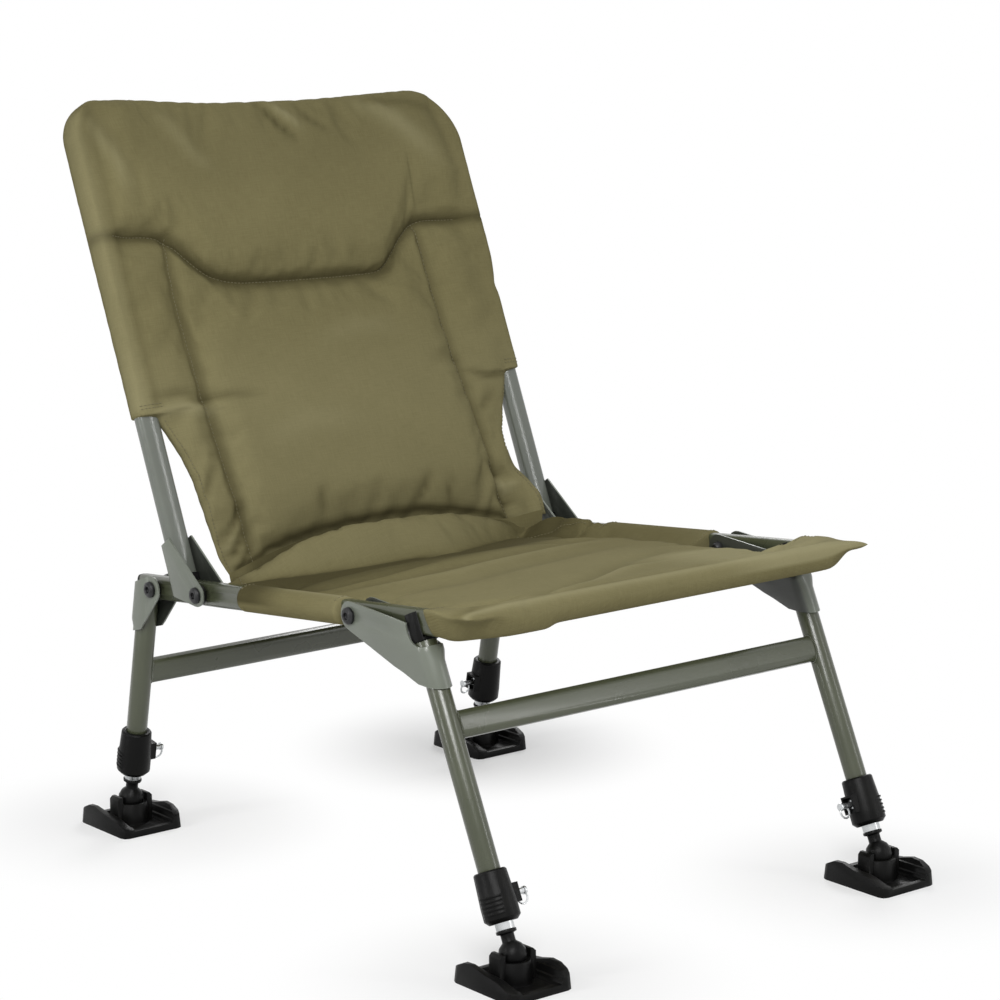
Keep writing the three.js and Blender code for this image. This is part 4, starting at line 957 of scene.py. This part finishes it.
# %% Folds in the seat
seat_folds = [
    ([(-236, -150), (-132, -198), (-83, -185), (-28, -159), (67, -110), (150, -80)], -3.8, 9),
    ([(-150, -215), (-60, -200), (11, -160), (104, -139), (190, -120)], 2.6, 9),
    ([(11, -144), (60, -146), (104, -139), (170, -128)], -3.0, 6),
    ([(-215, -30), (-110, -60), (30, -40), (150, -10)], -2.6, 14),
    ([(-222, 60), (-120, 20), (0, 20), (120, 60), (205, 95)], -3.0, 13),
    ([(-200, 20), (-90, -20), (40, 0), (160, 40)], 2.0, 12),
    ([(100, 88), (140, 82), (196, 96)], -3.6, 6),
    ([(-224, 100), (-180, 70), (-120, 60), (-40, 70)], -2.8, 8),
    ([(-210, 90), (-150, 96), (-60, 92), (20, 100)], 2.2, 8),
    ([(-205, 118), (-188, 132), (-170, 150)], -3.6, 5),
    ([(-214, 108), (-196, 104), (-176, 112)], -3.0, 5),
    ([(200, 130), (186, 160), (176, 190)], -3.6, 6),
    ([(214, 116), (196, 128), (160, 140)], -3.0, 6),
    ([(-60, 150), (10, 160), (80, 190)], -2.2, 8),
    ([(-248, -240), (-226, -222), (-205, -205)], -2.8, 5),
    ([(246, -238), (228, -222), (200, -208)], -2.6, 5),
    ([(-196, -262), (-186, -246), (-176, -230)], -2.6, 5),
    ([(-200, -190), (-168, -196), (-140, -204)], 2.0, 7),
]


def seat_grid():
    """Shares of the width for the columns, and the places of the rows."""
    side = crowded(17) * 0.2
    across = np.concatenate([-1 + side[:-1], -0.8 + np.linspace(0, 1, 55)[:-1] * 1.6, 0.8 + side])
    front = SEAT_FRONT + np.array([0, 0.4, 1.4, 3, 5, 7.5, 10.5, 14, 18, 23, 29, 36, 43, 51, 59, 66, 70.5])
    at = np.concatenate([
        front, [-181.4, -180.6, -178], np.linspace(-172, -50, 18), [-46, -44.2, -43.2, -41],
        np.linspace(-34, 117, 22), [122, 124.5, SLEEVE_END, 128], np.linspace(134, 208, 13),
        [213, 217, 220, 222.5, 224.2, SEAT_REAR]])
    return across, at


def seat_sheets():
    """The grid, its half width, its place beside the tube, and both sheets in metres."""
    across, rows = seat_grid()
    at = np.repeat(rows[:, None], len(across), axis=1)
    half = seat_half(rows)[:, None]
    x = across[None, :] * half
    top = seat_top(x, at) + sum(fold(line, x, at, 1.5 * amount, width) for line, amount, width in seat_folds)
    thick = 12.5 + 2 * ease((at - 120) / 60)
    sleeved = (half > 230) | (at < -215)
    off = off_tube(x, SEAT_BAR - at)
    skin = np.where(np.abs(off) < 15, np.sqrt(np.clip(SEAT_SKIN**2 - off**2, 0, None)) - 0.6, -99)
    top = np.maximum(top, bar_lift(at) + skin)
    wrapped = np.where(sleeved, ease((off + 24) / 10), 0.0)
    loose = 4 * ease((-150 - x) / 8) * ease((-190 - at) / 20)
    low = (top - thick) * (1 - wrapped) + (bar_lift(at) - UNDERSIDE - loose) * wrapped
    rim = edge_share(half - np.abs(x), np.where(sleeved, 13, 6))
    rim = rim * edge_share(at - SEAT_FRONT, 13, 2.8) * edge_share(SEAT_REAR - at, 7)
    ear = np.where(at < -181, ease((off - 4) / 20), 0.0)
    share = rim * (1 - 0.7 * ear)
    between = (top + low) / 2
    middle = between * (1 - ear) + (bar_lift(at) + 7 + 14 * ease((at + 225) / 32)) * ear
    upper, lower = (seat_board.place(x, middle + (sheet - between) * share, at) for sheet in (top, low))
    return x, at, half, off, upper, lower


def seat_painted_shading(x, at):
    """Painted shade in the valley, along the rear edge, in the folds, on the far side, in the left rear
    corner and on the far ear, and painted light on the crowns of the rolls, the ridges, the swell and the
    front.
    """
    foot, valley = np.interp(x, foot_x, foot_at), np.interp(x, valley_x, valley_at)
    # Painted shade in the valley in front of the swell.
    in_valley = ease((at - valley + 88) / 66) * ease((foot + 4 - at) / 12)
    rear_edge = 1.1 * bell(SEAT_REAR - at, 5) * ease((x + 190) / 34)
    # Painted shade on the far side and in the left rear corner.
    at_right = ease((x - 196) / 14) * ease((246 - x) / 8) * ease((at + 60) / 30)
    at_left = ease((-x - 165) / 25) * ease((230 + x) / 12) * ease((at - 60) / 50)
    seam = np.max([rear_edge, 1.15 * in_valley, 0.5 * at_right, 0.6 * at_left], axis=0)
    tone = painted_fold_shading(seat_folds, x, at, 0.5)
    # Painted shade on the far ear.
    ear = 0.4 * ease((x - 205) / 12) * ease((-175 - at) / 6) * ease((at + 240) / 10)
    seam = np.clip(seam + np.clip(tone, 0, 1) + ear, 0, 1.2)
    # Painted highlights on the crowns of the front roll and the left rail's roll.
    crown = bell(at + 247, 6) + bell(x + 238, 7) * ((at > -43) & (at < 125))
    # Painted light on the lit right front and on the swell.
    lit = 0.6 * ease((x - 40) / 100) * ease((-90 - at) / 40)
    lit = lit + 0.2 * ease((at - foot) / 12) * ease((210 - np.abs(x)) / 30)
    # Painted light on the front part of the seat.
    front = 0.22 * ease((40 - at) / 120) * ease((at + 235) / 20)
    worn = np.clip(0.7 * crown + lit + np.clip(-tone, 0, 1) + front, 0, 1)
    return seam, worn * (1 - 0.9 * in_valley)


print(len(seat_folds), "folds in the seat")


# %% The seat cover, sewn and puffed up
def make_seat_cover():
    x, at, half, off, upper, lower = seat_sheets()
    held = np.maximum(ease((off + 24) / 9), ease((off + 4) / 6))
    held = np.maximum(held, 1 - edge_share(half - np.abs(x), 9) * edge_share(SEAT_REAR - at, 12))
    held = np.where(half < 220, np.maximum(held, ease((np.abs(x) - 200) / 12)), held)
    # Painted shade and painted light for the cloth's colour.
    seam, worn = seat_painted_shading(x, at)
    return sewn_cover("padded_seat", upper, lower, walked(upper, 1), walked(upper, 0), held, 1.0,
                      pressure=1.5, cap=5, seam=seam, worn=worn)


seat_cover = make_seat_cover()
print("seat cover", len(seat_cover.data.vertices), "vertices")

# %% Hand over the covers
for piece, body, fill in ((back_cover, "back", 0.6), (seat_cover, "seat", 0.45)):
    hand_over(piece, body, "olive_cloth", olive, body + "_cover")
tube_middle = Vector(back_board.place(0.0, -TUBE_DEPTH, 250.0))


def flatten_when_folded(piece):
    """Gives the piece its own copy of its mesh."""
    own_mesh(piece)


flatten_when_folded(back_cover)

# %% [markdown] ## The crease between seat and back A strip of the same cloth joins both pads
# and hangs in the crease between them.


# %% A strip that bends with the fold
STRIP_HANGS, STRIP_THICKNESS = 26, 1.6


def make_crease_strip():
    x = np.linspace(-192, 216, 66)[None, :]
    share = np.linspace(0, 1, 13)[:, None, None]
    seat_edge = seat_board.place(x, np.interp(x, crease_x, np.array(crease_up) - 14), 221) / MM
    back_edge = back_board.place(x, corner_flare(x, 20) - 26, back_low(x) + 5) / MM
    lowest = (seat_edge + back_edge) / 2 + np.array([0, -4, -STRIP_HANGS])
    upper = (1 - share) ** 2 * seat_edge + 2 * share * (1 - share) * lowest + share**2 * back_edge
    lower = upper + np.array([0, 0, -STRIP_THICKNESS])
    lower[[0, -1]], lower[:, [0, -1]] = upper[[0, -1]], upper[:, [0, -1]]
    across, along = walked(upper * MM, 1), walked(upper * MM, 0)
    piece, _, _ = closed_cover("crease_strip", upper * MM, lower * MM, across, along)
    at = np.array([v.co.x for v in piece.data.vertices]) / MM
    # Painted shade on the strip: dark in the crease, lighter towards both ends.
    floats(piece.data, "seam", 1.0 - 0.7 * ease((at - 150) / 40) - 0.7 * ease((-152 - at) / 26))
    as_plain_mesh(piece, COVER_SHARP)
    piece.data.materials.append(olive)
    middle = x.shape[1] // 2
    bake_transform(piece, "seat", "back", upper[0, middle] * MM, upper[-1, middle] * MM)
    return piece


crease_strip = make_crease_strip()
print("strip of", len(crease_strip.data.vertices), "vertices")

# %% [markdown]
# ## Stitches and weld beads
# Both are one small thing repeated along a path: a thread that dips in and out of the cloth, and a
# weld that was laid drop by drop. So one tree of Geometry Nodes serves both. It takes a path, walks
# along it in even steps, sets a rounded drop at each step and turns it along the path.


# %% A tree that sets drops along a path
DROP_SEED, UNEVEN = 7, 0.15


def drop_tree():
    tree = bpy.data.node_groups.new("drops along a path", "GeometryNodeTree")
    face = tree.interface
    face.new_socket("Path", in_out="INPUT", socket_type="NodeSocketGeometry")
    for name in ("Spacing", "Thickness", "Length"):
        face.new_socket(name, in_out="INPUT", socket_type="NodeSocketFloat")
    face.new_socket("Material", in_out="INPUT", socket_type="NodeSocketMaterial")
    face.new_socket("Drops", in_out="OUTPUT", socket_type="NodeSocketGeometry")

    def put(kind, settings=None, inputs=None):
        return add_node(tree, kind, settings, inputs).outputs

    given = put("NodeGroupInput")
    curve = put("GeometryNodeMeshToCurve", None, {"Mesh": given["Path"]})["Curve"]
    even = {"Curve": curve, "Length": given["Spacing"]}
    steps = put("GeometryNodeResampleCurve", {"mode": "LENGTH"}, even)["Curve"]
    tangent = put("GeometryNodeInputTangent")["Tangent"]
    turned = put("FunctionNodeAlignRotationToVector", {"axis": "Z"}, {"Vector": tangent})["Rotation"]
    spread = {2: 1 - UNEVEN, 3: 1 + UNEVEN, "Seed": DROP_SEED}
    uneven = put("FunctionNodeRandomValue", {"data_type": "FLOAT"}, spread)[1]
    length = put("ShaderNodeMath", {"operation": "MULTIPLY"}, {0: given["Length"], 1: uneven})["Value"]
    size = {"X": given["Thickness"], "Y": given["Thickness"], "Z": length}
    scale = put("ShaderNodeCombineXYZ", None, size)["Vector"]
    drop = put("GeometryNodeMeshUVSphere", None, {"Segments": 7, "Rings": 5, "Radius": 0.5})["Mesh"]
    drops = put("GeometryNodeInstanceOnPoints", None,
                {"Points": steps, "Instance": drop, "Rotation": turned, "Scale": scale})["Instances"]
    real = put("GeometryNodeRealizeInstances", None, {"Geometry": drops})["Geometry"]
    done = put("GeometryNodeSetMaterial", None, {"Geometry": real, "Material": given["Material"]})["Geometry"]
    put("NodeGroupOutput", None, {"Drops": done})
    return tree


drops = drop_tree()


def drops_along(name, paths, spacing, thickness, length, material):
    """A plain mesh with drops along each path. Paths are lists of points in metres."""
    corners, edges = [], []
    for path in paths:
        edges += [(len(corners) + i, len(corners) + i + 1) for i in range(len(path) - 1)]
        corners += [tuple(point) for point in path]
    piece = meshed(name, corners, edges)
    step = piece.modifiers.new("drops", "NODES")
    step.node_group = drops
    wanted = {"Spacing": spacing * MM, "Thickness": thickness * MM, "Length": length * MM,
              "Material": material}
    for item in drops.interface.items_tree:
        if item.in_out == "INPUT" and item.name in wanted:
            step[item.identifier] = wanted[item.name]
    return as_plain_mesh(piece, 180)


print("tree", drops.name, "with", len(drops.nodes), "nodes")

# %% [markdown]
# The thread has to lie on the puffed cloth, whose final shape came from the simulation. So each
# seam is drawn on its panel's board and then dropped onto the finished cover.


# %% Seams dropped onto a cover
THROW_FROM, THREAD_LIFT, THREAD_STEP = 90.0, 0.25, 4


def dropped(surface, board, line):
    """Points every few millimetres along a line of (x, up) corners, on the cover's outside."""
    line = np.array(line, float)
    lengths = np.insert(np.cumsum(np.linalg.norm(np.diff(line, axis=0), axis=1)), 0, 0)
    at = np.linspace(0, lengths[-1], max(2, int(lengths[-1] / THREAD_STEP)))
    x, up = (np.interp(at, lengths, line[:, i]) for i in (0, 1))
    hits = [surface.ray_cast(Vector(point), Vector(-board.out)) for point in board.place(x, THROW_FROM, up)]
    return [hit + normal * THREAD_LIFT * MM for hit, normal, _, _ in hits if hit is not None]


def stitched(cover, board, body, lines):
    """Thread on a cover, along lines that are drawn on its board."""
    points, faces = [v.co for v in cover.data.vertices], [tuple(f.vertices) for f in cover.data.polygons]
    surface = BVHTree.FromPolygons(points, faces)
    paths = [dropped(surface, board, line) for line in lines]
    stitches = drops_along("thread_" + body, paths, spacing=4.4, thickness=0.95, length=3.3, material=thread)
    return hand_over(stitches, body, "olive_cloth", thread)


pillow_line = [(x, float(pillow_seam(x))) for x in np.linspace(-236, 214, 90)]
hems = [[(side * (float(back_half(side, v)) - 5), v) for v in np.linspace(24, 188, 30)] for side in (-1, 1)]
mouths = [[(outer, v), (inner, v)] for v in (203, 206.5) for outer, inner in ((-250, -228), (250, 232))]
back_lines = [left_channel, right_channel, pillow_line] + hems + mouths
back_thread = stitched(back_cover, back_board, "back", back_lines)
flatten_when_folded(back_thread)
seat_lines = []
for side in (-1, 1):
    seat_lines += [[(side * 250, at), (side * 222, at)] for at in (119, -38, -186)]
    seat_lines += [[(side * 212, -176), (side * 212, -48)],
                   [(side * 211, 130), (side * 207, 160), (side * 197, 190), (side * 186, 218)]]
seat_thread = stitched(seat_cover, seat_board, "seat", seat_lines)
print("stitches", len(back_thread.data.polygons) + len(seat_thread.data.polygons), "faces")

# %% [markdown]
# Each crossbar is pressed flat and oval and welded between its legs. The bead runs round the oval
# where it meets the round leg. Each bar has its board and its place on it, out and up.

# %% Weld beads
LEG_RADIUS, BAR_HALF_DEEP, BAR_HALF_TALL, BEAD_LIFT = 11, 6.5, 13.5, 0.5
crossbars = {"front_legs": (front_board, 86.1, -133), "rear_legs": (rear_board, -24.3, -105.5)}


def weld_loop(board, side, out, up):
    angle = np.linspace(0, 2 * math.pi, 41)
    deep, tall = (BAR_HALF_DEEP + BEAD_LIFT) * np.cos(angle), (BAR_HALF_TALL + BEAD_LIFT) * np.sin(angle)
    x = side * (TUBE_X - np.sqrt((LEG_RADIUS + 0.4) ** 2 - deep**2))
    return board.place(x, out + deep, up + tall)


for body, (board, out, up) in crossbars.items():
    paths = [weld_loop(board, side, out, up) for side in (-1, 1)]
    welds = drops_along("weld_" + body, paths, spacing=1.5, thickness=2.6, length=2.0, material=steel_paint)
    hand_over(welds, body, "frame_steel", steel_paint)
    print(welds.name, len(welds.data.polygons), "faces")

# %% [markdown]
# ## Floor, light and camera
# The chair stands on a plain pale floor in soft studio light. The camera has the photograph's
# viewing angle. For the camera the floor turns from grey near the feet, where it shows their
# shadow, to white further away, so the background is as bright as paper while the lamps stay at a
# plain level.


# %% Floor and world
FLOOR_HALF, SHADOW_NEAR, SHADOW_FAR, WHITE = 9, 0.03, 0.24, (1, 1, 1, 1)


def make_floor():
    corners = [(x * FLOOR_HALF, y * FLOOR_HALF, 0) for x, y in ((-1, -1), (1, -1), (1, 1), (-1, 1))]
    floor = meshed("floor", corners, faces=[(0, 1, 2, 3)])
    f = Finish("studio floor")
    place = f.place()
    away = None
    for name in hard_pieces:
        if name.startswith("foot_") and "stem" not in name:
            low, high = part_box(name)
            foot = tuple((low[i] + high[i]) / 2 for i in range(2)) + (0.0,)
            here = f.put("ShaderNodeVectorMath", {"operation": "DISTANCE"}, {0: place, 1: foot}, "Value")
            away = here if away is None else f.maths("MINIMUM", away, here)
    seen = f.ray("Camera")
    pale_grey = f.blend(seen, (0.7, 0.7, 0.7, 1), (0.93, 0.93, 0.93, 1))
    matte = f.put("ShaderNodeBsdfDiffuse", None, {"Color": pale_grey})
    white = f.put("ShaderNodeEmission", None, {"Color": WHITE, "Strength": 1.0})
    share = away.ramp(SHADOW_NEAR, SHADOW_FAR, 0.4, 1) * f.maths("MAXIMUM", seen, f.ray("Glossy"))
    surface = f.put("ShaderNodeMixShader", None, {0: share, 1: matte, 2: white})
    f.put("ShaderNodeOutputMaterial", None, {"Surface": surface})
    floor.data.materials.append(f.made)
    return floor


def make_world():
    f = Finish("studio", "worlds")
    soft = f.put("ShaderNodeBackground", None, {"Color": (0.96, 0.98, 1, 1), "Strength": 0.22})
    white = f.put("ShaderNodeBackground", None, {"Color": WHITE, "Strength": 1.0})
    seen = f.maths("MAXIMUM", f.ray("Camera"), f.ray("Glossy"))
    mixed = f.put("ShaderNodeMixShader", None, {0: seen, 1: soft, 2: white})
    f.put("ShaderNodeOutputWorld", None, {"Surface": mixed})
    bpy.context.scene.world = f.made


floor = make_floor()
make_world()
print("floor and world made")


# %% Lamps
def soft_box(name, place, aim, size, power):
    """A square or oblong lamp that looks at a point above the floor's middle. Power is in watts."""
    data = bpy.data.lights.new(name, "AREA")
    data.shape, data.size, data.size_y, data.energy = "RECTANGLE", *size, power
    lamp = linked(name, data)
    lamp.location = place
    lamp.rotation_euler = (Vector((0, 0, aim)) - Vector(place)).to_track_quat("-Z", "Y").to_euler()


soft_box("key", (-1.5, -1.95, 2.45), 0.4, (1.1, 1.1), 49)
soft_box("over the right shoulder", (1.7, 1.5, 1.7), 0.35, (0.9, 0.9), 20)
soft_box("top", (-0.2, -0.3, 2.6), 0.35, (1.2, 1.2), 4)
soft_box("front strip", (-2.2, -2.2, 2.0), 0.55, (0.7, 1.2), 27)
soft_box("left strip", (-2.4, 0.5, 1.1), 0.35, (0.16, 1.8), 16)
soft_box("right strip", (1.5, -2.2, 1.0), 0.3, (0.14, 1.8), 10)

# %% Camera at the photograph's angle
camera_data = bpy.data.cameras.new("camera")
camera = linked("camera", camera_data)
camera.location = (-2.03774, -2.53020, 1.03175)
camera.rotation_euler = (math.radians(78.5), 0, math.radians(-39.234))
camera_data.lens, camera_data.sensor_width = 116.23, 36
bpy.context.scene.camera = camera
bpy.context.scene.view_settings.view_transform = "Standard"
print("camera at", tuple(camera.location))

# %% [markdown]
# The finished chair may stand at most a little proud of the packed model.
